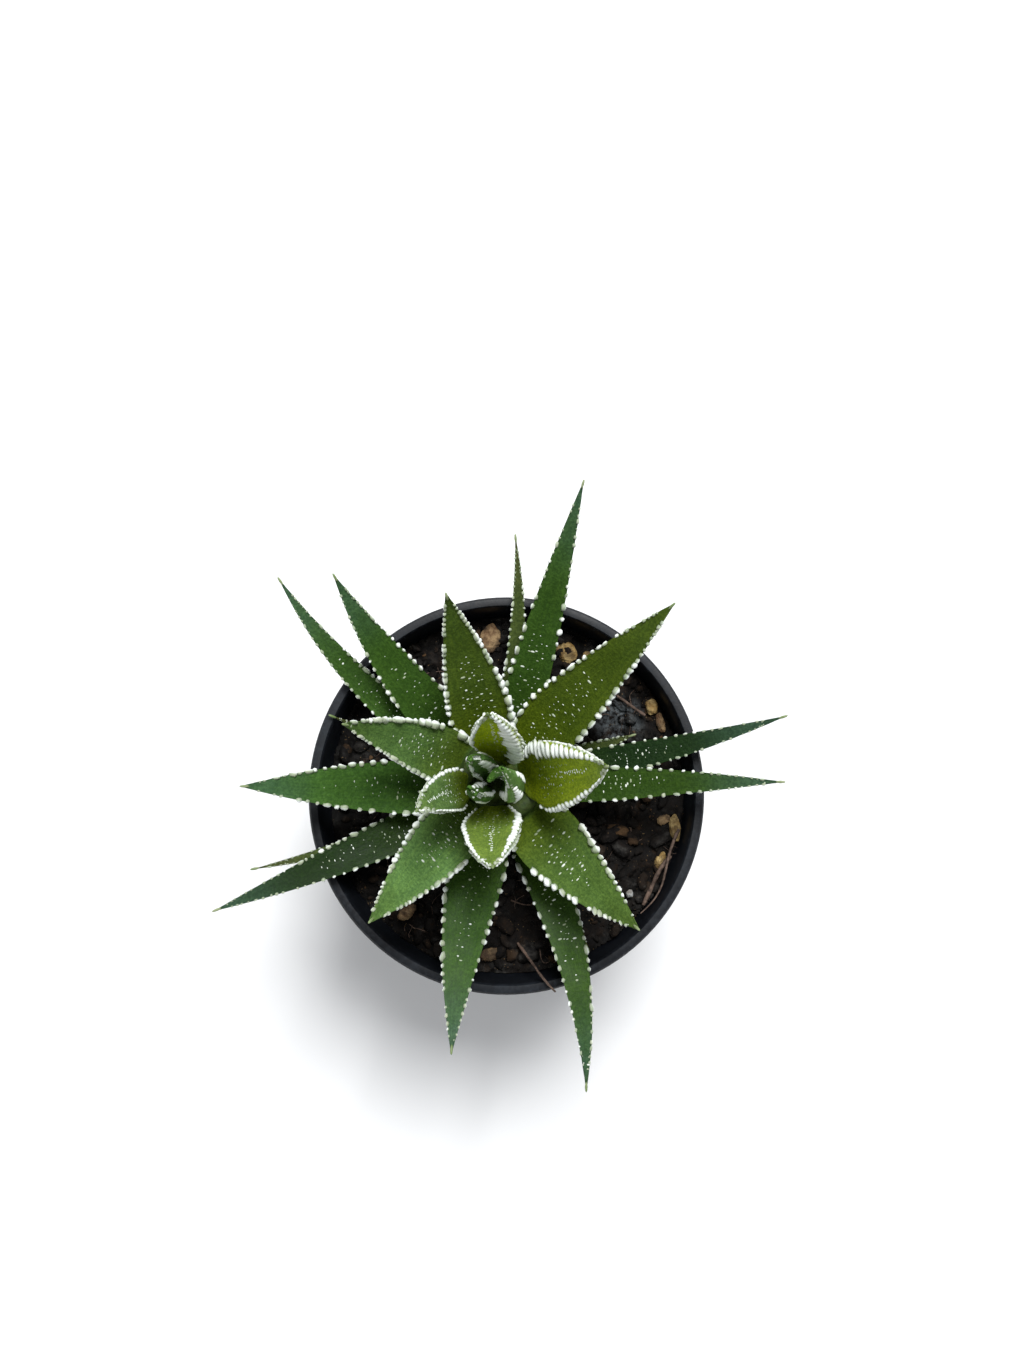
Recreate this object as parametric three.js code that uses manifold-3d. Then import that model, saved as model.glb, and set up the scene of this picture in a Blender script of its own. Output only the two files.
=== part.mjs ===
// A potted haworthia: one rosette of thick pointed leaves on a short rooted stem, standing in
// potting mix in a round nursery pot. Millimetres, +Z up. The origin is the centre of the pot's
// underside, and the pot's axis is the Z axis. The rosette's axis stands a little off it.
import * as THREE from 'three';
import { mergeVertices } from 'three/addons/utils/BufferGeometryUtils.js';
import Module from 'manifold-3d';

const wasm = await Module();
wasm.setup();

// ---------------------------------------------------------------- driving dimensions

const POT_HEIGHT = 75;
const RIM_RADIUS = 45;
const RIM_LIP = 2; // width of the lip's flat top
const COLLAR_HEIGHT = 9;
const BODY_TOP_RADIUS = 43;
const BASE_RADIUS = 31;
const WALL = 1.2;
const FLOOR = 1.6;
const DRAIN_SLOTS = 6;
const POT_SIDES = 64;

const FIT = 0.3; // gap between pieces that touch
const SOIL_DEPTH_BELOW_RIM = 9;
const PLANT_X = -2.5;
const PLANT_Y = 2.2;

const ROOT_RADIUS = 1.3;
const ROOTS = 5;

const LEAF_SIDES = 12;
const LEAF_STATIONS = 11;

const DEGREE = Math.PI / 180;
const SOIL_LEVEL = POT_HEIGHT - SOIL_DEPTH_BELOW_RIM;

// ---------------------------------------------------------------- materials

const material = (color, roughness) => new THREE.MeshStandardMaterial({ color, roughness, metalness: 0 });
const POT_BLACK = material(0x202226, 0.45);
const SOIL_BROWN = material(0x2b211b, 0.95);
const STEM_PALE = material(0x8a8a58, 0.8);
const LEAF_OLD = material(0x2f4326, 0.6);
const LEAF_OUTER = material(0x2f5a2a, 0.5);
const LEAF_MIDDLE = material(0x4a7420, 0.5);
const LEAF_INNER = material(0x6c9038, 0.5);
const LEAF_BUD = material(0x3f7030, 0.5);
const PUMICE = material(0xb49a6a, 0.9);
const BARK = material(0x6e4422, 0.9);
const PERLITE = material(0xd9dcd2, 0.9);
const STRAW = material(0x6b5140, 0.85);

// ---------------------------------------------------------------- group, solids and booleans

const potted_haworthia = new THREE.Group();

function place(name, geometry, itsMaterial) {
  const mesh = new THREE.Mesh(geometry, itsMaterial);
  mesh.name = name;
  potted_haworthia.add(mesh);
  return mesh;
}

// A three.js geometry as a manifold-3d solid: only its positions, with shared corners merged.
function solid(geometry) {
  const bare = geometry.clone();
  bare.deleteAttribute('normal');
  bare.deleteAttribute('uv');
  const merged = mergeVertices(bare, 1e-3);
  return new wasm.Manifold(new wasm.Mesh({
    numProp: 3,
    vertProperties: new Float32Array(merged.attributes.position.array),
    triVerts: new Uint32Array(merged.index.array),
  }));
}

function geometryOf(itsSolid) {
  const mesh = itsSolid.getMesh();
  const geometry = new THREE.BufferGeometry();
  geometry.setAttribute('position', new THREE.BufferAttribute(mesh.vertProperties, 3));
  geometry.setIndex(new THREE.BufferAttribute(mesh.triVerts, 1));
  return geometry;
}

// A lathe round the Z axis from a profile of [radius, height] points, listed so that it faces out.
function turned(profile, sides) {
  const points = profile.map(([radius, height]) => new THREE.Vector2(radius, height));
  return new THREE.LatheGeometry(points, sides).rotateX(Math.PI / 2);
}

function eachVertex(geometry, move) {
  const position = geometry.attributes.position;
  const vertex = new THREE.Vector3();
  for (let i = 0; i < position.count; i++) {
    vertex.fromBufferAttribute(position, i);
    move(vertex);
    position.setXYZ(i, vertex.x, vertex.y, vertex.z);
  }
  return geometry;
}

// The point at a bearing and a distance from the rosette's axis. Bearing 0 is +X, 90 is +Y.
function aboutPlant(bearing, distance, height) {
  return new THREE.Vector3(
    PLANT_X + distance * Math.cos(bearing * DEGREE),
    PLANT_Y + distance * Math.sin(bearing * DEGREE),
    height,
  );
}

const PLANT = aboutPlant(0, 0, 0);

const smooth = (x) => THREE.MathUtils.smoothstep(x, 0, 1);

// ---------------------------------------------------------------- pot

// The tapered shell with a thicker collar and a rounded lip, as one closed profile.
const collarFoot = POT_HEIGHT - COLLAR_HEIGHT;
const potShell = turned([
  [0, 0],
  [BASE_RADIUS - 1.2, 0],
  [BASE_RADIUS, 1.2],
  [BODY_TOP_RADIUS, collarFoot],
  [RIM_RADIUS - 0.7, collarFoot + 0.8],
  [RIM_RADIUS, POT_HEIGHT - 0.6],
  [RIM_RADIUS - 0.4, POT_HEIGHT],
  [RIM_RADIUS - RIM_LIP, POT_HEIGHT],
  [RIM_RADIUS - RIM_LIP - 0.3, POT_HEIGHT - 0.5],
  [RIM_RADIUS - RIM_LIP - 0.6, collarFoot + 0.8],
  [BODY_TOP_RADIUS - WALL, collarFoot - 0.6],
  [BASE_RADIUS - WALL + 0.4, FLOOR + 1.2],
  [BASE_RADIUS - WALL - 0.8, FLOOR],
  [0, FLOOR],
], POT_SIDES);

// Each drain slot runs from the floor out through the corner and a little way up the wall.
const SLOT_WIDTH = 7;
const SLOT_INNER = BASE_RADIUS - 7;
const SLOT_HEIGHT = 4.5;
let pot = solid(potShell);
for (let i = 0; i < DRAIN_SLOTS; i++) {
  const slot = new THREE.BoxGeometry(BASE_RADIUS, SLOT_WIDTH, 2 * SLOT_HEIGHT)
    .translate(SLOT_INNER + BASE_RADIUS / 2, 0, 0)
    .rotateZ((i + 0.5) * 2 * Math.PI / DRAIN_SLOTS);
  pot = pot.subtract(solid(slot));
}
place('pot', geometryOf(pot), POT_BLACK);

// ---------------------------------------------------------------- stem and roots

// The short stem, from below the soil to the growing tip, as [radius, height].
const STEM_PROFILE = [
  [0, SOIL_LEVEL - 14],
  [3.4, SOIL_LEVEL - 13],
  [5, SOIL_LEVEL - 7],
  [6.4, SOIL_LEVEL - 1],
  [6.8, SOIL_LEVEL + 4],
  [6.4, SOIL_LEVEL + 9],
  [5.6, SOIL_LEVEL + 14],
  [4.4, SOIL_LEVEL + 18],
  [3.4, SOIL_LEVEL + 21.6],
  [0, SOIL_LEVEL + 22],
];
const STEM_TOP = STEM_PROFILE.at(-1)[1];

function stemRadius(height) {
  const above = STEM_PROFILE.findIndex(([, z]) => z > height);
  if (above < 1) return 0;
  const [lowRadius, low] = STEM_PROFILE[above - 1];
  const [highRadius, high] = STEM_PROFILE[above];
  return THREE.MathUtils.mapLinear(height, low, high, lowRadius, highRadius);
}

function rootTube(index, radius) {
  const bearing = index * 360 / ROOTS + 20;
  const depth = 22 + 9 * (index % 2);
  const path = new THREE.QuadraticBezierCurve3(
    aboutPlant(bearing, 1, SOIL_LEVEL - 9),
    aboutPlant(bearing, 15, SOIL_LEVEL - 13),
    aboutPlant(bearing + 14, 19, SOIL_LEVEL - 9 - depth),
  );
  const section = new THREE.Shape().absarc(0, 0, radius, 0, 2 * Math.PI);
  return new THREE.ExtrudeGeometry(section, { steps: 8, curveSegments: 4, extrudePath: path });
}

// The stem joined to its roots. Extra is added all round, for the room it takes in the soil.
function rootedStem(extra) {
  const profile = STEM_PROFILE.map(([radius, z], i) => [
    radius && radius + extra,
    z + (i === 0 ? -extra : 0),
  ]);
  let joined = solid(turned(profile, 24).translate(PLANT_X, PLANT_Y, 0));
  for (let i = 0; i < ROOTS; i++) joined = joined.add(solid(rootTube(i, ROOT_RADIUS + extra)));
  return joined;
}
place('stem_and_roots', geometryOf(rootedStem(0)), STEM_PALE);

// ---------------------------------------------------------------- stones and litter on the soil

// The soil's top: low mounds, and a dip round the stem.
function soilHeight(x, y) {
  const mounds = 0.7 * Math.sin(x / 7.5 + 1) * Math.cos(y / 9) + 0.4 * Math.sin((x + y) / 4.1);
  const fromStem = Math.hypot(x - PLANT_X, y - PLANT_Y);
  return SOIL_LEVEL + mounds - 1.6 * (1 - smooth((fromStem - 9) / 12));
}

// Bearing and distance from the pot's axis, size along its own axes, turn about the vertical.
const STONES = [
  { name: 'pumice_1', at: [-11.7, 40.2], size: [2.7, 6.4, 2.6], turn: 4, of: PUMICE },
  { name: 'pumice_2', at: [-23.6, 39.2], size: [2.5, 4.4, 2.2], turn: -25, of: PUMICE },
  { name: 'pumice_3', at: [30.4, 39.7], size: [3, 3.8, 2.4], turn: 10, of: PUMICE },
  { name: 'pumice_4', at: [59, 37.4], size: [3.2, 2.6, 2.2], turn: 15, of: PUMICE },
  { name: 'pumice_5', at: [67, 36.2], size: [4.6, 6, 2.6], turn: 30, of: PUMICE },
  { name: 'bark_chip_1', at: [-9.8, 37.2], size: [3.2, 2.2, 1.4], turn: 20, of: BARK },
  { name: 'bark_chip_2', at: [24.3, 39.9], size: [2, 5, 1.4], turn: 12, of: BARK },
  { name: 'bark_chip_3', at: [96.3, 36.6], size: [5.4, 7.6, 2], turn: -12, of: BARK },
  { name: 'bark_chip_4', at: [-96, 37.5], size: [5, 3, 1.6], turn: 10, of: BARK },
  { name: 'bark_chip_5', at: [-130, 36], size: [5.2, 3, 1.6], turn: 40, of: BARK },
  { name: 'perlite_1', at: [-39, 36.5], size: [1.7, 2.6, 2.2], turn: 20, of: PERLITE },
  { name: 'perlite_2', at: [140, 36], size: [2.2, 1.8, 1.6], turn: 0, of: PERLITE },
];

// A rounded stone: a sphere of triangles with a lumpy skin, sunk to just under half its height.
function stone({ at: [bearing, distance], size: [wide, deep, high], turn }, extra) {
  const x = distance * Math.cos(bearing * DEGREE);
  const y = distance * Math.sin(bearing * DEGREE);
  const lumpy = (v) => {
    const lump = 1 + 0.1 * Math.sin(5 * v.x + bearing) + 0.08 * Math.sin(6 * v.y + 4 * v.z);
    v.multiplyScalar(lump);
    v.set(v.x * (wide / 2 + extra), v.y * (deep / 2 + extra), v.z * (high / 2 + extra));
  };
  return eachVertex(new THREE.IcosahedronGeometry(1, 1), lumpy)
    .rotateZ(turn * DEGREE)
    .translate(x, y, soilHeight(x, y) + 0.1 * high);
}
for (const one of STONES) place(one.name, stone(one, 0), one.of);

// Dead fibres that lie over the soil, each as [x, y, height] points.
const LITTER = [
  {
    name: 'dead_root',
    radius: 0.55,
    route: [[38, -14.5, 68.4], [35.7, -17.5, 68.3], [34, -21, 67.8], [31.5, -26, 68]],
  },
  {
    name: 'straw_1',
    radius: 0.3,
    route: [[2.5, -34.5, 67.2], [6, -38.6, 72.4], [8, -41, 76], [10.9, -44, 77]],
  },
  {
    name: 'straw_2',
    radius: 0.4,
    route: [[25.6, 22.9, 68], [29, 20.4, 68.4], [32.5, 18, 68.2]],
  },
];
for (const { name, radius, route } of LITTER) {
  const path = new THREE.CatmullRomCurve3(route.map((point) => new THREE.Vector3(...point)));
  const section = new THREE.Shape().absarc(0, 0, radius, 0, 2 * Math.PI);
  place(name, new THREE.ExtrudeGeometry(section, { steps: 10, curveSegments: 4, extrudePath: path }), STRAW);
}

// ---------------------------------------------------------------- soil

const SOIL_BOTTOM = FLOOR + FIT;
const wallSlope = (BODY_TOP_RADIUS - BASE_RADIUS) / (collarFoot - 1.2);
const soilRadius = (height) => BASE_RADIUS - WALL - FIT + wallSlope * (height - 1.2);
const SOIL_EDGE = soilRadius(SOIL_LEVEL - 1);

// The ball of potting mix that fills the pot, with its top shaped by soilHeight.
const soilBall = eachVertex(turned([
  [0, SOIL_BOTTOM],
  [soilRadius(SOIL_BOTTOM) - 1.5, SOIL_BOTTOM],
  [soilRadius(SOIL_BOTTOM + 3) - 0.2, SOIL_BOTTOM + 3],
  [soilRadius(SOIL_LEVEL - 3), SOIL_LEVEL - 3],
  ...[1, 0.86, 0.7, 0.54, 0.38, 0.2].map((share) => [SOIL_EDGE * share, SOIL_LEVEL]),
  [0, SOIL_LEVEL],
], 40), (v) => {
  if (v.z > SOIL_LEVEL - 1) v.z = soilHeight(v.x, v.y);
});
let soil = solid(soilBall).subtract(rootedStem(FIT));
for (const one of STONES) soil = soil.subtract(solid(stone(one, FIT)));
place('soil', geometryOf(soil), SOIL_BROWN);

// ---------------------------------------------------------------- leaves

// Each whorl's look: thickness as a share of width, how far the face is hollowed, and how much
// narrower the seat is than the blade. Young leaves are pinched: the face's edges stand in from
// the widest line of the blade, and above it, so that a strip of the back shows beside the face.
const WHORLS = {
  old: { thick: 0.34, hollow: 0.02, seat: 0.84, pinch: 0, lift: 0, of: LEAF_OLD },
  outer: { thick: 0.34, hollow: 0.05, seat: 0.78, pinch: 0, lift: 0, of: LEAF_OUTER },
  middle: { thick: 0.3, hollow: 0.1, seat: 0.66, pinch: 0, lift: 0, of: LEAF_MIDDLE },
  inner: { thick: 0.28, hollow: 0.14, seat: 0.46, pinch: 0.1, lift: 0.14, of: LEAF_INNER },
  bud: { thick: 0.34, hollow: 0.06, seat: 0.6, pinch: 0.14, lift: 0.16, of: LEAF_BUD },
};

// Every leaf in turn, oldest first. It leaves the stem at a height (seat) and a bearing (leaves),
// and ends at its tip: bearing, distance from the rosette's axis, height. Full says how far the
// outline keeps its width towards the tip. Bow carries the leaf's middle sideways, anticlockwise
// as seen from above; sag lowers it; roll turns the face about the leaf's length.
const LEAVES = {
  old: [
    { leaves: 83, seat: 68.6, tip: [85.5, 56, 83], width: 5.8, full: 1.8, bow: -2.2, sag: 0, roll: 0 },
    { leaves: 210, seat: 68, tip: [199.5, 57, 82], width: 5.1, full: 1.8, bow: 1.7, sag: 1, roll: 0 },
    { leaves: 168, seat: 68, tip: [158, 41, 76.8], width: 3.9, full: 1.7, bow: -0.5, sag: 3.1, roll: 0 },
    { leaves: 304, seat: 68, tip: [299, 43, 77.6], width: 6.5, full: 1.9, bow: 1, sag: 1.4, roll: 0 },
    { leaves: 20, seat: 68.2, tip: [19, 34, 75.6], width: 6, full: 1.8, bow: 0, sag: 0, roll: 0 },
  ],
  outer: [
    { leaves: 149, seat: 70.1, tip: [136.8, 66, 86.5], width: 7.9, full: 2.1, bow: 3.6, sag: -0.3, roll: 0 },
    { leaves: 12, seat: 71, tip: [12.8, 65.5, 87], width: 8.1, full: 1.9, bow: -1.2, sag: 0, roll: 0 },
    { leaves: 213, seat: 71.1, tip: [204.5, 66.5, 87], width: 9.8, full: 2, bow: 0.5, sag: 0, roll: 0 },
    { leaves: 296, seat: 71.1, tip: [286.5, 68, 86.7], width: 10.3, full: 2, bow: 4.9, sag: -2, roll: 0 },
    { leaves: 66, seat: 72, tip: [73.5, 66.5, 99], width: 10.7, full: 1.9, bow: 0.1, sag: 2, roll: 0 },
    { leaves: 352, seat: 73.9, tip: [0, 61.5, 93], width: 8.9, full: 1.9, bow: 0.4, sag: 1, roll: 0 },
    { leaves: 125, seat: 73.9, tip: [128, 56, 95.9], width: 12.5, full: 1.9, bow: 2.2, sag: 2.1, roll: 0 },
    { leaves: 263, seat: 75.2, tip: [261, 56.5, 94], width: 14.6, full: 1.8, bow: -1.6, sag: 1, roll: 0 },
    { leaves: 189, seat: 76.7, tip: [181, 53, 96.6], width: 13.2, full: 2.2, bow: 0, sag: 1.4, roll: 0 },
  ],
  middle: [
    { leaves: 49, seat: 76.4, tip: [44.5, 51.5, 106], width: 16.4, full: 1.8, bow: 0.4, sag: 2, roll: 0 },
    { leaves: 320, seat: 77.9, tip: [314.5, 41, 106.3], width: 16.9, full: 2.1, bow: -0.8, sag: 2, roll: 0 },
    { leaves: 228, seat: 79.7, tip: [228.5, 36.5, 110.4], width: 15.4, full: 2.2, bow: 0, sag: 2, roll: 0 },
    { leaves: 97, seat: 79.4, tip: [104.5, 38.5, 110.9], width: 15.6, full: 2, bow: -0.1, sag: 2, roll: 0 },
    { leaves: 148, seat: 82.1, tip: [159.5, 31.5, 113], width: 13.6, full: 2.1, bow: -1, sag: 2, roll: -6 },
  ],
  inner: [
    { leaves: 5, seat: 81.6, tip: [7, 21.5, 123], width: 17.2, full: 2.5, bow: -0.1, sag: 1, roll: 12 },
    { leaves: 191, seat: 84, tip: [202, 15.5, 121], width: 10.2, full: 2.4, bow: -1.2, sag: 1, roll: -4 },
    { leaves: 265, seat: 83, tip: [270, 16, 123], width: 14, full: 2.5, bow: -0.3, sag: 1, roll: 7 },
    { leaves: 86, seat: 85.6, tip: [95, 12.3, 126], width: 12.6, full: 2.5, bow: -0.6, sag: 0.5, roll: -18 },
  ],
  bud: [
    { leaves: 338, seat: STEM_TOP, tip: [60, 2.8, 118], width: 6.8, full: 2.2, bow: 0, sag: 0, roll: 12 },
    { leaves: 128, seat: STEM_TOP, tip: [137, 6.2, 115], width: 5.8, full: 2, bow: 0, sag: 0, roll: -12 },
    { leaves: 222, seat: STEM_TOP, tip: [196, 4.9, 113.5], width: 5, full: 1.8, bow: 0, sag: 0, roll: 10 },
    { leaves: 60, seat: STEM_TOP, tip: [165, 0.8, 116], width: 2.9, full: 1.8, bow: 0, sag: 0, roll: 0 },
  ],
};

// The bud leaves share the stem's tip, and each bellies out by its own width before its tip.
const BUD_SEAT_RADIUS = 1.9;
const BUD_BELLY = 0.95;

// The line down the middle of a leaf's face, from its seat on the stem to its tip.
function spineOf(whorl, { leaves, seat, tip: [bearing, reach, height], width, bow, sag }) {
  const inBud = whorl === 'bud';
  const start = aboutPlant(leaves, inBud ? BUD_SEAT_RADIUS : stemRadius(seat) + FIT, seat + FIT);
  const end = aboutPlant(bearing, reach, height);
  const sideways = new THREE.Vector3(start.y - end.y, end.x - start.x, 0).normalize();
  const turn = start.clone().lerp(end, 0.5)
    .addScaledVector(sideways, 2 * bow)
    .add(new THREE.Vector3(0, 0, -2 * sag));
  if (inBud) turn.copy(aboutPlant(leaves, BUD_BELLY * width, (seat + height) / 2));
  return new THREE.QuadraticBezierCurve3(start, turn, end);
}

// A leaf is a cone bent along its spine. Round the cone, cos is across the blade and sin is
// through it: the face is hollowed and the back is rounded, with a keel. A bud leaf curls back
// over the bud, so its heading is kept as where it leaves the stem, or it would twist.
const EDGE_ROUNDING = 0.25; // 1 - cos^2 at the first corner in from the widest line

function leafBlade(whorl, leaf) {
  const { thick, hollow, seat, pinch, lift } = WHORLS[whorl];
  const spine = spineOf(whorl, leaf);
  const roll = leaf.roll * DEGREE;
  const cone = new THREE.ConeGeometry(1, 1, LEAF_SIDES, LEAF_STATIONS, false);
  return eachVertex(cone, (v) => {
    const station = v.y + 0.5;
    const girth = station > 0.999 ? 0 : Math.hypot(v.x, v.z) / (1 - station);
    const angle = Math.atan2(v.z, v.x);
    const along = 1 - (1 - station) ** 1.4;
    const half = leaf.width / 2 * (1 - along ** leaf.full)
      * THREE.MathUtils.lerp(seat, 1, smooth(along / 0.3));
    const tangent = spine.getTangent(along);
    const heading = whorl === 'bud' ? aboutPlant(leaf.leaves, 1, 0).sub(PLANT) : tangent;
    const across = new THREE.Vector3(-heading.y, heading.x, 0).projectOnPlane(tangent).normalize();
    const up = new THREE.Vector3().crossVectors(tangent, across);
    across.applyAxisAngle(tangent, roll);
    up.applyAxisAngle(tangent, roll);
    const side = Math.cos(angle);
    const through = Math.sin(angle);
    const rounding = 1 - side * side;
    const dip = hollow * (1 - along) * half * 2 * (rounding - (lift ? EDGE_ROUNDING : 0));
    const face = lift * half * (1 - along ** 3) - dip;
    const back = thick * leaf.width * (0.9 + 0.1 * smooth(along / 0.4))
      * (1 - along ** 2.4) * rounding ** 0.6;
    const onMargin = Math.abs(through) < 1e-6;
    const onFace = through < 0 && !onMargin;
    const height = onFace ? face : -Math.max(back, 0.3 * half + Math.max(0, dip));
    v.copy(spine.getPoint(along))
      .addScaledVector(across, side * half * (onFace ? 1 - pinch : 1) * girth)
      .addScaledVector(up, (onMargin ? 0 : height) * girth);
  });
}
for (const [whorl, leaves] of Object.entries(LEAVES)) {
  leaves.forEach((leaf, i) => {
    place(`${whorl}_leaf_${i + 1}`, leafBlade(whorl, leaf), WHORLS[whorl].of);
  });
}

export default potted_haworthia;
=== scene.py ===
# %% [markdown]
# # A potted haworthia
# This notebook builds the looks of a small succulent in a black nursery pot. The solid frame
# comes packed, one named node for each physical piece, in metres with +Z up. Each cell below
# takes one piece or one finish, says what it is on the real plant, and makes it.

# %% Load the frame
import math
import random

import bpy
from mathutils import Matrix, Vector, noise
from mathutils.bvhtree import BVHTree


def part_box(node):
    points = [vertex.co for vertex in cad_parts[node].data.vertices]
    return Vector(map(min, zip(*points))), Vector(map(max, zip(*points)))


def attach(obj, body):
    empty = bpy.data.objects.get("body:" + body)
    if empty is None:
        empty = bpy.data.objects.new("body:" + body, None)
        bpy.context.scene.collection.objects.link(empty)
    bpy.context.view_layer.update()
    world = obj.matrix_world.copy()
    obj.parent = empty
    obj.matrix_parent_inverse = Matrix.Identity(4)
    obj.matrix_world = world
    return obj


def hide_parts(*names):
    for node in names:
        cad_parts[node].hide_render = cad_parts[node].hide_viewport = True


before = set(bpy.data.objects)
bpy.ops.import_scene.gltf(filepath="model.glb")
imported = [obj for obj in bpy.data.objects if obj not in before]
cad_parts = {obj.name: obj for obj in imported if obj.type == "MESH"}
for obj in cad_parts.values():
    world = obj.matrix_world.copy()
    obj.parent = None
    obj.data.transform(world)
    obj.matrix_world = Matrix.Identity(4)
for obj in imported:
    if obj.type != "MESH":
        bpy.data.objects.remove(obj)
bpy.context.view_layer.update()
MM = 0.001
ROOT = "root"
bpy.ops.object.select_all(action="DESELECT")
LEAF_NODES = [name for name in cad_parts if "_leaf_" in name]
print("nodes:", len(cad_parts), "of them leaves:", len(LEAF_NODES))

# %% [markdown]
# ## Places that everything else is worked out from
# The pot stands on the origin. Its box gives the rim's height and radius, and the soil's box
# gives the soil level, below its mounds. The rosette's own axis is a little off the pot's.

# %% Measure the frame
_, POT_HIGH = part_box("pot")
RIM_RADIUS, _, RIM_Z = POT_HIGH
SOIL_LOW, SOIL_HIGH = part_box("soil")
SOIL_MOUNDS = 1.1 * MM
SOIL_Z = SOIL_HIGH[2] - SOIL_MOUNDS
PLANT_X, PLANT_Y = -2.5 * MM, 2.2 * MM
print("rim height", round(RIM_Z, 4), "rim radius", round(RIM_RADIUS, 4), "soil", round(SOIL_Z, 4))

# %% [markdown]
# ## Camera
# The view is almost straight down on the rosette, from a quarter of a metre above the rim,
# with a rather wide lens. The camera leans by a few degrees, as one held in the hand does.

# %% Place the camera
CAMERA_ABOVE_RIM = 0.25
CAMERA_LENS = 28.9
CAMERA_TILT = math.radians(5.73)
CAMERA_LEAN = math.radians(-0.28)
bpy.ops.object.camera_add(
    location=(0, 0, RIM_Z + CAMERA_ABOVE_RIM),
    rotation=(CAMERA_TILT, CAMERA_LEAN, 0),
)
camera = bpy.context.object
camera.name = "camera"
camera.data.lens = CAMERA_LENS
camera.data.clip_start = 0.01
bpy.context.scene.camera = camera
print("camera at", tuple(round(v, 3) for v in camera.location))

# %% [markdown]
# ## Light and floor
# Soft daylight comes from a window on the far side. One large area light does that, a weaker
# one fills from the near left, and a pale world keeps the shadows open. The floor is one wide
# pale sheet.

# %% Set the lights and the floor
def area_light(name, place, size, power, colour):
    """A square soft light that points at the rosette."""
    bpy.ops.object.light_add(type="AREA", location=place)
    light = bpy.context.object
    light.name = name
    light.data.size = size
    light.data.energy = power
    light.data.color = colour
    aim = Vector((0, 0, RIM_Z)) - light.location
    light.rotation_euler = aim.to_track_quat("-Z", "Y").to_euler()
    return light


area_light("window", (0.12, 0.42, 0.9), 0.36, 12.0, (0.98, 0.99, 1.0))
area_light("fill", (-0.7, -0.3, 0.6), 0.8, 1.6, (1.0, 0.98, 0.95))
world = bpy.data.worlds.new("studio")
world.use_nodes = True
background = world.node_tree.nodes["Background"]
background.inputs["Color"].default_value = (0.93, 0.96, 1.0, 1)
background.inputs["Strength"].default_value = 0.42
bpy.context.scene.world = world
bpy.context.scene.view_settings.view_transform = "Standard"

bpy.ops.mesh.primitive_plane_add(size=6, location=(0, 0, 0))
floor = bpy.context.object
floor.name = "floor"
floor.data.materials.append(bpy.data.materials.new("floor_pale"))
floor.data.materials[0].use_nodes = True
floor_shader = floor.data.materials[0].node_tree.nodes["Principled BSDF"]
floor_shader.inputs["Base Color"].default_value = (0.86, 0.86, 0.86, 1)
floor_shader.inputs["Roughness"].default_value = 0.9
print("lights and floor made")

# %% [markdown]
# ## Writing materials as expressions
# A material is easier to read as arithmetic than as a web of nodes. Value wraps one output
# socket and turns + - * into Math nodes. Finish starts a material from one Principled shader
# and adds any other node with its settings and inputs in one call.

# %% Value and Finish
class Value:
    """One output of a material's nodes, for use in Python arithmetic."""

    def __init__(self, finish, socket):
        self.finish = finish
        self.socket = socket

    def math(self, operation, *values, clamp=False):
        settings = {"operation": operation, "use_clamp": clamp}
        return self.finish.add("ShaderNodeMath", settings, values)

    def __add__(self, other):
        return self.math("ADD", self, other)

    def __sub__(self, other):
        return self.math("SUBTRACT", self, other)

    def __rsub__(self, other):
        return self.math("SUBTRACT", other, self)

    def __mul__(self, other):
        return self.math("MULTIPLY", self, other)

    __radd__ = __add__
    __rmul__ = __mul__

    def step(self, low, high):
        """0 below low, 1 above high, and smooth between. Low may be the larger of the two."""
        inputs = {"Value": self, "From Min": low, "From Max": high}
        return self.finish.add("ShaderNodeMapRange", {"interpolation_type": "SMOOTHSTEP"}, inputs)

    def clamped(self):
        return self.math("ADD", self, 0.0, clamp=True)


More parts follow.
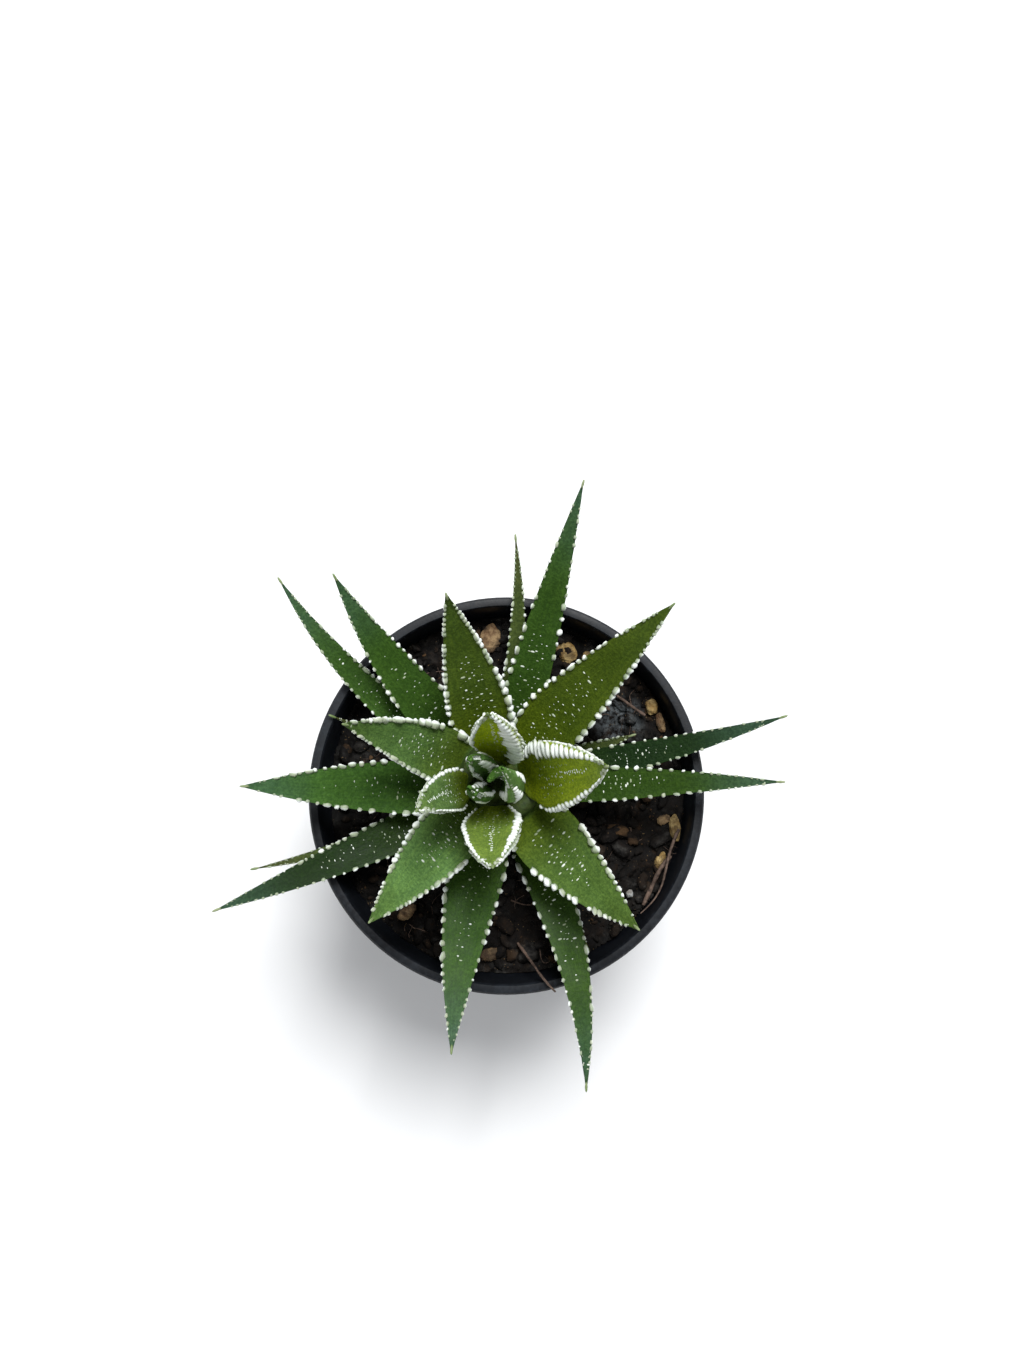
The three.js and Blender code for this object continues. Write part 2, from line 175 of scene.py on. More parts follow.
class Finish:
    """A Principled material. Uniform values are given here, on the shader's own sockets."""

    def __init__(self, name, **uniform):
        self.material = bpy.data.materials.new(name)
        self.material.use_nodes = True
        self.nodes = self.material.node_tree.nodes
        self.links = self.material.node_tree.links
        self.shader = self.nodes["Principled BSDF"]
        for socket, value in uniform.items():
            self.shader.inputs[socket.replace("_", " ")].default_value = value
        self.here = self.add("ShaderNodeTexCoord", output="Object")

    def add(self, kind, settings=None, inputs=(), output=0):
        """One node: its settings, then the values or links of its inputs. Returns an output."""
        node = self.nodes.new(kind)
        for key, value in (settings or {}).items():
            setattr(node, key, value)
        pairs = inputs.items() if isinstance(inputs, dict) else enumerate(inputs)
        for key, value in pairs:
            self.feed(node.inputs[key], value)
        return Value(self, node.outputs[output])

    def feed(self, socket, value):
        if isinstance(value, Value):
            self.links.new(value.socket, socket)
        elif isinstance(value, tuple) and len(value) == 3 and len(socket.default_value) == 4:
            socket.default_value = (*value, 1)
        else:
            socket.default_value = value

    def set(self, **surface):
        """Joins what varies over the surface to the shader, such as Base_Color=colour."""
        for socket, value in surface.items():
            self.feed(self.shader.inputs[socket.replace("_", " ")], value)

    def noise(self, scale, detail, roughness=0.55, at=None):
        vector = {"Vector": at or self.here}
        inputs = vector | {"Scale": scale, "Detail": detail, "Roughness": roughness}
        return self.add("ShaderNodeTexNoise", None, inputs)

    def cells(self, scale):
        """The distance to the nearest of many scattered points."""
        inputs = {"Vector": self.here, "Scale": scale}
        return self.add("ShaderNodeTexVoronoi", None, inputs, "Distance")

    def stretched(self, scale):
        """The coordinates with each axis scaled by its own amount."""
        return self.add("ShaderNodeMapping", None, {"Vector": self.here, "Scale": scale})

    def height(self):
        """How high the place is, in metres."""
        return self.add("ShaderNodeSeparateXYZ", None, (self.here,), "Z")

    def joined(self, x, y, z):
        return self.add("ShaderNodeCombineXYZ", None, (x, y, z))

    def attribute(self, name):
        return self.add("ShaderNodeAttribute", {"attribute_name": name}, output="Fac")

    def blend(self, factor, low, high, mode="MIX"):
        """One colour over another by a factor."""
        settings = {"data_type": "RGBA", "blend_type": mode, "clamp_factor": True}
        return self.add("ShaderNodeMix", settings, {0: factor, 6: low, 7: high}, 2)

    def bump(self, height, depth, strength):
        inputs = {"Height": height, "Distance": depth, "Strength": strength}
        return self.add("ShaderNodeBump", None, inputs)


print("material helpers ready")

# %% [markdown]
# ## Working on one object at a time
# The frame's own objects stay as they are. These helpers pick one object, run a job in edit
# mode, apply its modifiers, join pieces, and sign a finished one in: it is tied to the body it
# rides on, and the frame nodes it stands for are hidden.

# %% Object helpers
WELD = 0.01 * MM


def only(piece):
    """Makes one object the selected and active one."""
    bpy.ops.object.select_all(action="DESELECT")
    piece.select_set(True)
    bpy.context.view_layer.objects.active = piece
    return piece


def named(name):
    piece = bpy.context.object
    piece.name = name
    piece.data.name = name
    return piece


def linked(name, data):
    """A new object in the scene, for a mesh or a curve."""
    piece = bpy.data.objects.new(name, data)
    bpy.context.scene.collection.objects.link(piece)
    return piece


def edited(piece, action, **settings):
    """Runs one edit-mode action on the whole mesh."""
    only(piece)
    bpy.ops.object.mode_set(mode="EDIT")
    bpy.ops.mesh.select_all(action="SELECT")
    action(**settings)
    bpy.ops.object.mode_set(mode="OBJECT")
    return piece


def copy_of(node, name):
    """A new object with a copy of a node's mesh, its loose triangles joined up."""
    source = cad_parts[node]
    mesh = source.data.copy()
    mesh.transform(source.matrix_world)
    mesh.materials.clear()
    return edited(linked(name, mesh), bpy.ops.mesh.remove_doubles, threshold=WELD)


def pick(piece, test):
    """Goes to edit mode with only the vertices that pass a test of their place selected."""
    only(piece)
    bpy.ops.object.mode_set(mode="EDIT")
    bpy.ops.mesh.select_mode(type="VERT")
    bpy.ops.mesh.select_all(action="DESELECT")
    bpy.ops.object.mode_set(mode="OBJECT")
    for vertex in piece.data.vertices:
        vertex.select = test(vertex.co)
    bpy.ops.object.mode_set(mode="EDIT")


def with_modifier(piece, kind, **settings):
    """Adds one modifier, sets it and applies it."""
    only(piece)
    modifier = piece.modifiers.new(kind.lower(), kind)
    for key, value in settings.items():
        setattr(modifier, key, value)
    bpy.ops.object.modifier_apply(modifier=modifier.name)
    return piece


def subdivided(piece, levels):
    return with_modifier(piece, "SUBSURF", levels=levels, render_levels=levels)


def displace(piece, kind, size, strength, mid_level=0.5, direction="NORMAL", **settings):
    """Pushes the surface in and out by one procedural texture."""
    texture = bpy.data.textures.new(piece.name + "_relief", kind)
    texture.noise_scale = size
    for key, value in settings.items():
        setattr(texture, key, value)
    push = {"direction": direction, "strength": strength, "mid_level": mid_level}
    return with_modifier(piece, "DISPLACE", texture=texture, texture_coords="LOCAL", **push)


def join_into(piece, *others):
    """Joins other pieces to one, which keeps its name."""
    only(piece)
    for other in others:
        other.select_set(True)
    bpy.ops.object.join()
    return piece


def wear(piece, finish):
    piece.data.materials.clear()
    piece.data.materials.append(finish.material)
    return piece


def sign_in(piece, slot, *nodes):
    """Applies the piece's place, and ties it to the frame."""
    only(piece)
    bpy.ops.object.transform_apply(location=True, rotation=True, scale=True)
    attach(piece, ROOT)
    if nodes:
        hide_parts(*nodes)
    return piece


def faces_of(piece):
    return len(piece.data.polygons)


print("object helpers ready")

# %% [markdown]
# ## The pot
# A nursery pot is one thin shell of injection-moulded black plastic: a disc at the bottom, a
# wall that widens upwards, a thicker collar so that pots stack without jamming, and a flat lip.
# It could be a lathed profile. Here it is pulled out of one disc by extruding and scaling ring
# after ring, which is how a wall with an inside and an outside is easiest to keep closed. A
# bevel softens the moulded edges, and six slots are cut through the bottom corner.

# %% Shape the pot
LIP = 2.0 * MM
WALL = 1.2 * MM
COLLAR = 9.0 * MM
BASE_RADIUS = 31.0 * MM
BODY_TOP_RADIUS = 43.0 * MM
POT_FLOOR = 1.6 * MM
FOOT_CHAMFER = 1.2 * MM
COLLAR_FOOT = RIM_Z - COLLAR
POT_SIDES = 128
DRAIN_SLOTS = 6
SLOT_WIDTH = 7.0 * MM
SLOT_HEIGHT = 4.5 * MM
SLOT_DEPTH = 7.0 * MM
EDGE_BEVEL = 0.25 * MM

# Each ring's radius and height: up the outside, over the lip, and down the inside.
POT_RINGS = [
    (BASE_RADIUS, FOOT_CHAMFER),
    (BODY_TOP_RADIUS, COLLAR_FOOT),
    (RIM_RADIUS - 0.7 * MM, COLLAR_FOOT + 0.8 * MM),
    (RIM_RADIUS, RIM_Z - 0.6 * MM),
    (RIM_RADIUS - 0.5 * MM, RIM_Z),
    (RIM_RADIUS - LIP, RIM_Z),
    (RIM_RADIUS - LIP - 0.3 * MM, RIM_Z - 0.5 * MM),
    (RIM_RADIUS - LIP - 0.6 * MM, COLLAR_FOOT + 0.8 * MM),
    (BODY_TOP_RADIUS - WALL, COLLAR_FOOT - 0.6 * MM),
    (BASE_RADIUS - WALL + 0.4 * MM, POT_FLOOR + 1.2 * MM),
    (BASE_RADIUS - WALL - 0.8 * MM, POT_FLOOR),
]


def pull_rings(radius, height, rings):
    """Extrudes the selected disc to each ring's radius and height in turn."""
    for next_radius, next_height in rings:
        lift = {"value": (0, 0, next_height - height)}
        bpy.ops.mesh.extrude_region_move(TRANSFORM_OT_translate=lift)
        grow = next_radius / radius
        bpy.ops.transform.resize(value=(grow, grow, 1), center_override=(0, 0, next_height))
        radius, height = next_radius, next_height


FOOT_RADIUS = BASE_RADIUS - FOOT_CHAMFER
bpy.ops.mesh.primitive_circle_add(
    vertices=POT_SIDES, radius=FOOT_RADIUS, fill_type="NGON", location=(0, 0, 0)
)
pot = named("pot_shell")
bpy.ops.object.mode_set(mode="EDIT")
bpy.ops.mesh.select_all(action="SELECT")
bpy.ops.mesh.duplicate()
pull_rings(FOOT_RADIUS, 0.0, POT_RINGS)
bpy.ops.mesh.select_all(action="SELECT")
bpy.ops.mesh.remove_doubles(threshold=WELD)
bpy.ops.mesh.normals_make_consistent(inside=False)
bpy.ops.object.mode_set(mode="OBJECT")
print("pot faces:", faces_of(pot), "size:", [round(v, 4) for v in pot.dimensions])

# %% Cut the drain slots and soften the edges
def drain_cutter(index):
    """A block that crosses the pot's bottom corner at one of the slots."""
    bearing = (index + 0.5) * 2 * math.pi / DRAIN_SLOTS
    reach = BASE_RADIUS - SLOT_DEPTH + BASE_RADIUS / 2
    place = (reach * math.cos(bearing), reach * math.sin(bearing), 0)
    bpy.ops.mesh.primitive_cube_add(size=1, location=place, rotation=(0, 0, bearing))
    block = named("slot_cutter")
    block.scale = (BASE_RADIUS, SLOT_WIDTH, 2 * SLOT_HEIGHT)
    bpy.ops.object.transform_apply(location=True, rotation=True, scale=True)
    return block


for slot_index in range(DRAIN_SLOTS):
    cutter = drain_cutter(slot_index)
    with_modifier(pot, "BOOLEAN", operation="DIFFERENCE", object=cutter, solver="EXACT")
    bpy.data.objects.remove(cutter)
sharp = {"limit_method": "ANGLE", "angle_limit": math.radians(35)}
with_modifier(pot, "BEVEL", width=EDGE_BEVEL, segments=3, **sharp)
only(pot)
bpy.ops.object.shade_smooth_by_angle(angle=math.radians(30))
print("pot faces after slots and bevel:", faces_of(pot))

# %% [markdown]
# ## Pot plastic
# The plastic is black with a satin skin. Water that runs down it leaves faint upright streaks,
# and a thin grey bloom of lime and dust lies on the lip.

# %% Pot plastic
plastic = Finish("pot_plastic", IOR=1.48, Specular_IOR_Level=0.22)
dust = plastic.noise(900.0, 4.0, 0.65).step(0.42, 0.72)
blotches = plastic.noise(60.0, 3.0, 0.5).step(0.38, 0.66)
streaks = plastic.noise(1.0, 3.0, 0.6, at=plastic.stretched((900.0, 900.0, 60.0))).step(0.5, 0.75)
upper = plastic.height().step(RIM_Z - 1.6 * MM, RIM_Z - 0.2 * MM)
bloom = (dust * 0.35 + blotches * 0.25 + streaks * 0.2) * (0.2 + upper * 0.6)
skin = plastic.blend(bloom.clamped(), (0.0035, 0.0042, 0.0058), (0.028, 0.034, 0.043))
grain = plastic.noise(2600.0, 2.0)
plastic.set(
    Base_Color=skin,
    Roughness=0.42 + bloom * 0.4,
    Normal=plastic.bump(grain * 0.4 + dust * 0.4 + streaks * 0.2, 0.05 * MM, 0.5),
)
wear(pot, plastic)
sign_in(pot, "pot_plastic", "pot")
print("pot finished")

# %% [markdown]
# ## Many small copies in one mesh
# Crumbs of soil and the white beads on the leaves are the same few shapes again and again.
# Each shape is modelled once, with a few dozen faces. The copies are then written straight
# into one mesh, each with its own place, turn and size, and with a shade of its own that the
# material can read. A copy's shade is weaker at its foot: partly the thin green foot of a bead,
# which shows one copy from the next, and partly painted shade that rounds each copy.

# %% Small shapes and their copies
PEAK_FROM, PEAK_STRETCH = 0.1, 1.15
ROUGHNESS_SCALE, SEED_STEP = 1.7, 7.3
# How far each copy's shade drops towards its foot: partly a thin foot, partly painted shade.
FOOT_SHADE, WAIST_SHADE, SHADE_RISE = 0.2, 0.25, 1.2


def small_shape(segments, rings):
    """A little closed lump of radius 1, drawn up to a slight peak."""
    bpy.ops.mesh.primitive_uv_sphere_add(segments=segments, ring_count=rings, radius=1)
    lump = bpy.context.object
    pick(lump, lambda place: place.z > PEAK_FROM)
    bpy.ops.transform.resize(value=(1, 1, PEAK_STRETCH), center_override=(0, 0, 0))
    bpy.ops.object.mode_set(mode="OBJECT")
    shape = (
        [vertex.co.copy() for vertex in lump.data.vertices],
        [tuple(face.vertices) for face in lump.data.polygons],
    )
    bpy.data.objects.remove(lump)
    return shape


def rough(shape, seed, amount):
    """The same lump with its corners knocked about."""
    points, faces = shape
    shift = Vector((seed * SEED_STEP, 0, 0))
    moved = [p * (1 + amount * noise.noise(p * ROUGHNESS_SCALE + shift)) for p in points]
    return moved, faces


BEAD = small_shape(8, 6)
DOT = small_shape(6, 4)
CRUMBS = [rough(small_shape(8, 6), seed, 0.75) for seed in range(6)]


def copies_mesh(name, copies):
    """One mesh of copies, each given as (shape, matrix, shade)."""
    points, faces, shades = [], [], []
    for (shape_points, shape_faces), matrix, shade in copies:
        start = len(points)
        points.extend(matrix @ p for p in shape_points)
        faces.extend(tuple(start + i for i in face) for face in shape_faces)
        for p in shape_points:
            # Weaker towards the foot: partly a thin foot, partly painted shade.
            shades.append(shade * min(1, max(FOOT_SHADE, WAIST_SHADE + SHADE_RISE * p.z)))
    mesh = bpy.data.meshes.new(name)
    mesh.from_pydata(points, [], faces)
    mesh.attributes.new("shade", "FLOAT", "POINT").data.foreach_set("value", shades)
    mesh.polygons.foreach_set("use_smooth", [True] * len(mesh.polygons))
    return linked(name, mesh)


def placed(centre, along, across, out, half_length, half_width, half_height):
    """A matrix that lays a small shape on a surface: along it, across it and out of it."""
    columns = (along * half_length, across * half_width, out * half_height)
    return Matrix.Translation(centre) @ Matrix(columns).transposed().to_4x4()


print("bead faces:", len(BEAD[1]), "dot faces:", len(DOT[1]))

# %% [markdown]
# ## The potting mix
# The mix is peat and bark with grit, damp and dark, crusted where water has run. Its top is a
# disc of fine grid that is pushed up and down by four layers of noise: broad mounds, clods,
# crumbs and grit. It falls away a little to the left. Its rim is then pulled down inside the
# pot to close it as a solid plug.

# %% Shape the soil
SOIL_RADIUS = 41.6 * MM
SOIL_GRID = 190
SOIL_SKIRT = 4 * MM
SOIL_TAPER = 0.69
SOIL_SLOPE = 1.2 * MM
# Each layer's texture, size, depth and detail.
SOIL_LAYERS = (
    ("CLOUDS", 11 * MM, 2.6 * MM, {"noise_depth": 2}),
    ("VORONOI", 4.2 * MM, -2.2 * MM, {}),
    ("VORONOI", 1.7 * MM, -1.1 * MM, {}),
    ("CLOUDS", 0.9 * MM, 0.9 * MM, {"noise_depth": 3}),
)

GRID = {"x_subdivisions": SOIL_GRID, "y_subdivisions": SOIL_GRID, "size": 2 * SOIL_RADIUS}
bpy.ops.mesh.primitive_grid_add(location=(0, 0, SOIL_Z), **GRID)
soil = named("soil_plug")
bpy.ops.object.transform_apply(location=True)
cell = 2 * SOIL_RADIUS / SOIL_GRID
pick(soil, lambda place: place.xy.length > SOIL_RADIUS + 0.5 * cell)
bpy.ops.mesh.delete(type="VERT")
bpy.ops.object.mode_set(mode="OBJECT")
for vertex in soil.data.vertices:
    reach = vertex.co.xy.length
    if reach > SOIL_RADIUS - 0.5 * cell:
        vertex.co.xy *= SOIL_RADIUS / reach
for kind, size, depth, detail in SOIL_LAYERS:
    displace(soil, kind, size, depth, direction="Z", **detail)
for vertex in soil.data.vertices:
    vertex.co.z -= SOIL_SLOPE * max(0.0, -vertex.co.x / SOIL_RADIUS)
SOIL_TREE = BVHTree.FromObject(soil, bpy.context.evaluated_depsgraph_get())
SOIL_TOP = max(vertex.co.z for vertex in soil.data.vertices)

only(soil)
bpy.ops.object.mode_set(mode="EDIT")
bpy.ops.mesh.select_all(action="DESELECT")
bpy.ops.mesh.select_mode(type="EDGE")
bpy.ops.mesh.select_non_manifold(extend=False)
for drop in (SOIL_SKIRT, SOIL_Z - SOIL_LOW[2] - SOIL_SKIRT):
    bpy.ops.mesh.extrude_region_move(TRANSFORM_OT_translate={"value": (0, 0, -drop)})
flat = (SOIL_TAPER, SOIL_TAPER, 0)
bpy.ops.transform.resize(value=flat, center_override=(0, 0, SOIL_LOW[2]))
bpy.ops.mesh.edge_face_add()
bpy.ops.mesh.select_all(action="SELECT")
bpy.ops.mesh.normals_make_consistent(inside=False)
bpy.ops.object.mode_set(mode="OBJECT")
bpy.ops.object.shade_smooth_by_angle(angle=math.radians(50))
print("soil faces:", faces_of(soil), "top:", round(SOIL_TOP, 4))


def soil_point(x, y):
    """Where a straight drop meets the soil, and the way up there."""
    point, up, _, _ = SOIL_TREE.ray_cast(Vector((x, y, 1)), Vector((0, 0, -1)))
    return (point, up) if point else (Vector((x, y, SOIL_Z)), Vector((0, 0, 1)))


# %% [markdown]
# ## Soil finish
# Wet peat is nearly black and drier crust is grey brown, so the colour goes by broad damp
# patches first, then by clods. Where the soil lies low, in its hollows and towards the left, it is
# painted near black as painted shade. Small pale and orange flecks are grit and bark dust. On the
# right, by a dry straw, a blue-grey bloom of mould has grown.

# %% Soil finish
MOULD_PLACE = (26 * MM, 17 * MM, SOIL_Z)
earth = Finish("soil_dark", Specular_IOR_Level=0.2)
patches = earth.noise(75.0, 3.0, 0.6).step(0.36, 0.66)
clods = earth.noise(520.0, 5.0, 0.7).step(0.3, 0.72)
crust = earth.noise(140.0, 4.0, 0.7).step(0.5, 0.72)
base = earth.blend(clods, (0.0008, 0.0006, 0.0006), (0.0105, 0.0068, 0.0045))
base = earth.blend(patches * 0.7, base, (0.0025, 0.002, 0.0016))
rust = earth.noise(110.0, 4.0, 0.7, at=earth.stretched((1.0, 0.7, 1.0))).step(0.56, 0.68)
base = earth.blend(rust * clods * 0.8, base, (0.034, 0.016, 0.005))
base = earth.blend(crust * 0.8 * clods, base, (0.062, 0.06, 0.055))
# Painted shade: where the soil lies low, in its hollows and towards the left, it goes near black.
painted_hollow_shade = 1.0 - earth.height().step(SOIL_Z - 2.0 * MM, SOIL_Z + 0.2 * MM)
base = earth.blend(painted_hollow_shade * 0.85, base, (0.0012, 0.001, 0.0009))
distance = {"operation": "DISTANCE"}
from_mould = earth.add("ShaderNodeVectorMath", distance, (earth.here, MOULD_PLACE), "Value")
mould = (1.0 - from_mould.step(2 * MM, 8 * MM)) * earth.noise(330.0, 5.0, 0.7).step(0.42, 0.62)
base = earth.blend(mould * 0.8, base, (0.15, 0.17, 0.18))
flecks = 1.0 - earth.cells(1500.0).step(0.1, 0.22)
rare = earth.noise(800.0, 0.0).step(0.6, 0.66)
base = earth.blend(flecks * rare * 0.8, base, (0.2, 0.13, 0.06))
shade = earth.attribute("shade")
# Crumbs are tinted brown by their shade. The tint is less at the foot, partly as painted shade.
base = earth.blend(shade.step(0.02, 1.0), base, (0.16, 0.085, 0.035))
grains = earth.noise(1400.0, 5.0, 0.75)
earth.set(
    Base_Color=base,
    Roughness=0.8 + clods * 0.15 - patches * 0.15,
    Normal=earth.bump(grains + clods * 0.6, 0.35 * MM, 0.9),
)
wear(soil, earth)
sign_in(soil, "potting_mix", "soil")
print("soil finished")

# %% [markdown]
# ## Loose crumbs
# Broken clods, grit and bits of bark lie loose on the mix. They are the same six rough lumps,
# scattered by a seeded random draw, small ones far more often than large ones.

# %% Scatter the crumbs
CRUMB_COUNT = 1900
CRUMB_MARGIN = 0.8 * MM
CRUMB_SHADES = (0.0, 0.0, 0.0, 0.0, 0.05, 0.1, 0.2, 0.5)


def scatter_crumbs():
    """Many copies of the six lumps, turned, stretched and partly sunk in the mix."""
    draw = random.Random(11)
    copies = []
    for _ in range(CRUMB_COUNT):
        reach = (SOIL_RADIUS - CRUMB_MARGIN) * math.sqrt(draw.random())
        bearing = draw.uniform(0, 2 * math.pi)
        spot, up = soil_point(reach * math.cos(bearing), reach * math.sin(bearing))
        size = (0.28 + 1.9 * draw.random() ** 4) * MM
        spin = Matrix.Rotation(draw.uniform(0, 6.3), 3, "Z")
        lean = Matrix.Rotation(draw.uniform(-0.6, 0.6), 3, "X")
        stretch = (draw.uniform(0.7, 1.5), draw.uniform(0.6, 1.0), draw.uniform(0.5, 0.9))
        shaped = spin @ lean @ Matrix.Diagonal(Vector(stretch) * size)
        matrix = Matrix.Translation(spot + up * size * 0.25) @ shaped.to_4x4()
        shade = draw.choice(CRUMB_SHADES) * draw.random()
        copies.append((draw.choice(CRUMBS), matrix, shade))
    return copies_mesh("soil_crumbs", copies)


crumbs = wear(scatter_crumbs(), earth)
sign_in(crumbs, "potting_mix")
print("crumb faces:", faces_of(crumbs))

# %% [markdown]
# ## How a leaf lies in space
# A haworthia leaf is a thick pointed blade: a nearly flat face, a rounded back, and two margins
# where they meet. The frame's leaves are lofts of rings from the seat on the stem to the tip.
# Walking down from the tip's vertex, ring after ring, finds each ring's two margins, the points
# across its face and the points round its back. Everything on a leaf is then placed by three
# things: how far along the leaf it is, how far across, and on which side.

# %% Read a leaf's rings
RING_POINTS = 12
FACE, MARGIN, BACK = 1.0, 0.5, 0.0


def ring_walk(mesh, tip):
    """Vertex indices in rings, each one edge further down from the tip."""
    beside = [set() for _ in mesh.vertices]
    for edge in mesh.edges:
        one, other = edge.vertices
        beside[one].add(other)
        beside[other].add(one)
    rings, seen, ring = [], {tip}, {tip}
    while ring:
        ring = set().union(*(beside[index] for index in ring)) - seen
        seen |= ring
        if len(ring) == RING_POINTS:
            rings.append(sorted(ring))
    return rings


def widest_pair(places):
    """The two furthest points of a ring, which are its margins."""
    pairs = [(one, other) for one in places for other in places if one < other]
    return max(pairs, key=lambda pair: (places[pair[0]] - places[pair[1]]).length)


class Ring:
    """One cross-section of a leaf. Left is anticlockwise of the leaf's heading."""

    def __init__(self, mesh, indices, left_way):
        places = {index: mesh.vertices[index].co.copy() for index in indices}
        margins = widest_pair(places)
        self.left, self.right = sorted(margins, key=lambda index: -places[index].dot(left_way))
        self.middle = (places[self.left] + places[self.right]) / 2
        self.left_way = (places[self.left] - places[self.right]).normalized()
        self.half = (places[self.left] - places[self.right]).length / 2
        self.places = places

    def sort_sides(self, outward):
        """Tells the face from the back once the leaf's direction is known here."""
        up = outward.cross(self.left_way)
        inner = [index for index in self.places if index not in (self.left, self.right)]
        inner.sort(key=lambda index: (self.places[index] - self.middle).dot(up))
        half_way = len(inner) // 2
        self.side = {index: BACK for index in inner[:half_way]}
        self.side.update({index: FACE for index in inner[half_way:]})
        self.side.update({self.left: MARGIN, self.right: MARGIN})

    def across(self, index):
        """From -1 at the right margin to 1 at the left one."""
        return (self.places[index] - self.middle).dot(self.left_way) / self.half

    def point(self, across, side):
        """The ring's point at one place across, on the face or on the back."""
        chain = [(self.across(index), place) for index, place in self.places.items()
                 if self.side[index] in (side, MARGIN)]
        chain.sort(key=lambda pair: pair[0])
        for (low, start), (high, end) in zip(chain, chain[1:]):
            if across <= high:
                return start.lerp(end, (across - low) / (high - low))
        return chain[-1][1].copy()


NEARBY, NEAR_TIP = 0.03, 0.999
MARGIN_FROM, MARGIN_LEAN = 0.97, 1.6


class Leaf:
    """A leaf's skin, and where things sit on it."""

    def __init__(self, node):
        self.node = node
        self.whorl, number = node.split("_leaf_")
        self.number = int(number) - 1
        self.skin = copy_of(node, node + "_skin")
        mesh = self.skin.data
        root = Vector((PLANT_X, PLANT_Y, SOIL_Z))
        tip = max(mesh.vertices, key=lambda vertex: (vertex.co - root).length)
        walked = ring_walk(mesh, tip.index)
        seat = sum((mesh.vertices[index].co for index in walked[-1]), Vector()) / RING_POINTS
        heading = tip.co - seat
        if self.whorl == "bud":
            heading = seat - Vector((PLANT_X, PLANT_Y, seat.z))
        left_way = Vector((-heading.y, heading.x, 0)).normalized()
        self.tip = tip.index
        self.rings = [Ring(mesh, indices, left_way) for indices in reversed(walked)]
        middles = [ring.middle for ring in self.rings] + [tip.co.copy()]
        for ring, before, after in zip(self.rings, [middles[0]] + middles, middles[1:]):
            ring.outward = (after - before).normalized()
            ring.sort_sides(ring.outward)
        steps = [(b - a).length for a, b in zip(middles, middles[1:])]
        self.length = sum(steps)
        self.marks = [sum(steps[:i]) / self.length for i in range(len(middles))]
        self.tip_place = middles[-1]

    def rails(self, along, across, side):
        """A point between rings, before it is dropped to the finished skin."""
        index = max(i for i, mark in enumerate(self.marks[:-1]) if mark <= along)
        low, high = self.marks[index], self.marks[index + 1]
        share = (along - low) / (high - low)
        start = self.rings[index].point(across, side)
        if index + 1 < len(self.rings):
            return start.lerp(self.rings[index + 1].point(across, side), share)
        return start.lerp(self.tip_place, share)

    def half_width(self, along):
        return (self.rails(along, 1, FACE) - self.rails(along, -1, FACE)).length / 2

    def spot(self, along, across, side=FACE):
        """A place on the finished skin with its ways along, across and out.

        At a margin, out leans away from the leaf's middle.
        """
        point, out, _, _ = self.tree.find_nearest(self.rails(along, across, side))
        ahead = self.rails(min(along + NEARBY, NEAR_TIP), across, side)
        behind = self.rails(max(along - NEARBY, 0), across, side)
        onward = (ahead - behind).normalized()
        if abs(across) > MARGIN_FROM:
            edge = self.rails(along, math.copysign(1, across), side)
            centre = self.rails(along, 0, FACE)
            out = (out + MARGIN_LEAN * (edge - centre).normalized()).normalized()
        sideways = out.cross(onward).normalized()
        return point, sideways.cross(out).normalized(), sideways, out


print("leaf reader ready")

# %% [markdown]
# ## Leaf skins
# Each skin is a copy of its frame leaf. Pairs of triangles are joined into quads, the two
# margins are creased so that they stay fairly sharp, and two rounds of subdivision make the
# rest smooth. A soft noise then pulls the surface in by a fraction of a millimetre, as on
# fleshy leaves. Bud leaves are swollen a little, since they press on each other. Attributes go
# with the skin for the colours: along, across, face and tone. The tone is partly the leaf's own
# colour, from olive at 0 to jade at 1, and partly painted light: jade stands in for the bluish
# sheen on some leaves, and below 0 the leaf is painted dark, as painted shade for leaves in the
# shade.

# %% Make the skins
MARGIN_CREASE = 0.55
TIP_CREASE = 0.9
BUD_SWELL = 0.55 * MM
RELIEF = 0.4 * MM
RELIEF_SIZE = 4.5 * MM
RELIEF_PULL = 0.85
# Each leaf's tone, whorl by whorl, in the order of the leaves' numbers. It is partly the leaf's
# own colour and partly painted light: high values stand in for sheen, values below 0 for shade.
TONES_AND_PAINTED_LIGHT = {
    "old": (0.45, 0.7, 0.1, 0.4, 0.5),
    "outer": (0.5, -0.5, -0.4, 0.35, 0.4, 0.25, 0.45, 0.6, 0.8),
    "middle": (0.1, 0.5, 1.0, 0.2, 0.8),
    "inner": (0.3, 1.0, 0.75, 0.0),
    "bud": (0.85, 0.5, 0.3, 0.1),
}


def mark_skin(leaf):
    """Writes where each vertex is on the leaf, and creases the margins."""
    mesh = leaf.skin.data
    count = len(mesh.vertices)
    values = {"along": [1.0] * count, "across": [0.0] * count, "face": [0.5] * count}
    for mark, ring in zip(leaf.marks, leaf.rings):
        for index in ring.places:
            values["along"][index] = mark
            values["across"][index] = ring.across(index)
            values["face"][index] = ring.side[index]
    values["tone"] = [TONES_AND_PAINTED_LIGHT[leaf.whorl][leaf.number]] * count
    for name, numbers in values.items():
        mesh.attributes.new(name, "FLOAT", "POINT").data.foreach_set("value", numbers)
    lefts = {ring.left for ring in leaf.rings} | {leaf.tip}
    rights = {ring.right for ring in leaf.rings} | {leaf.tip}
    sharp = [
        MARGIN_CREASE if set(edge.vertices) <= lefts or set(edge.vertices) <= rights else 0.0
        for edge in mesh.edges
    ]
    mesh.attributes.new("crease_edge", "FLOAT", "EDGE").data.foreach_set("value", sharp)
    tips = [TIP_CREASE if index == leaf.tip else 0.0 for index in range(count)]
    mesh.attributes.new("crease_vert", "FLOAT", "POINT").data.foreach_set("value", tips)


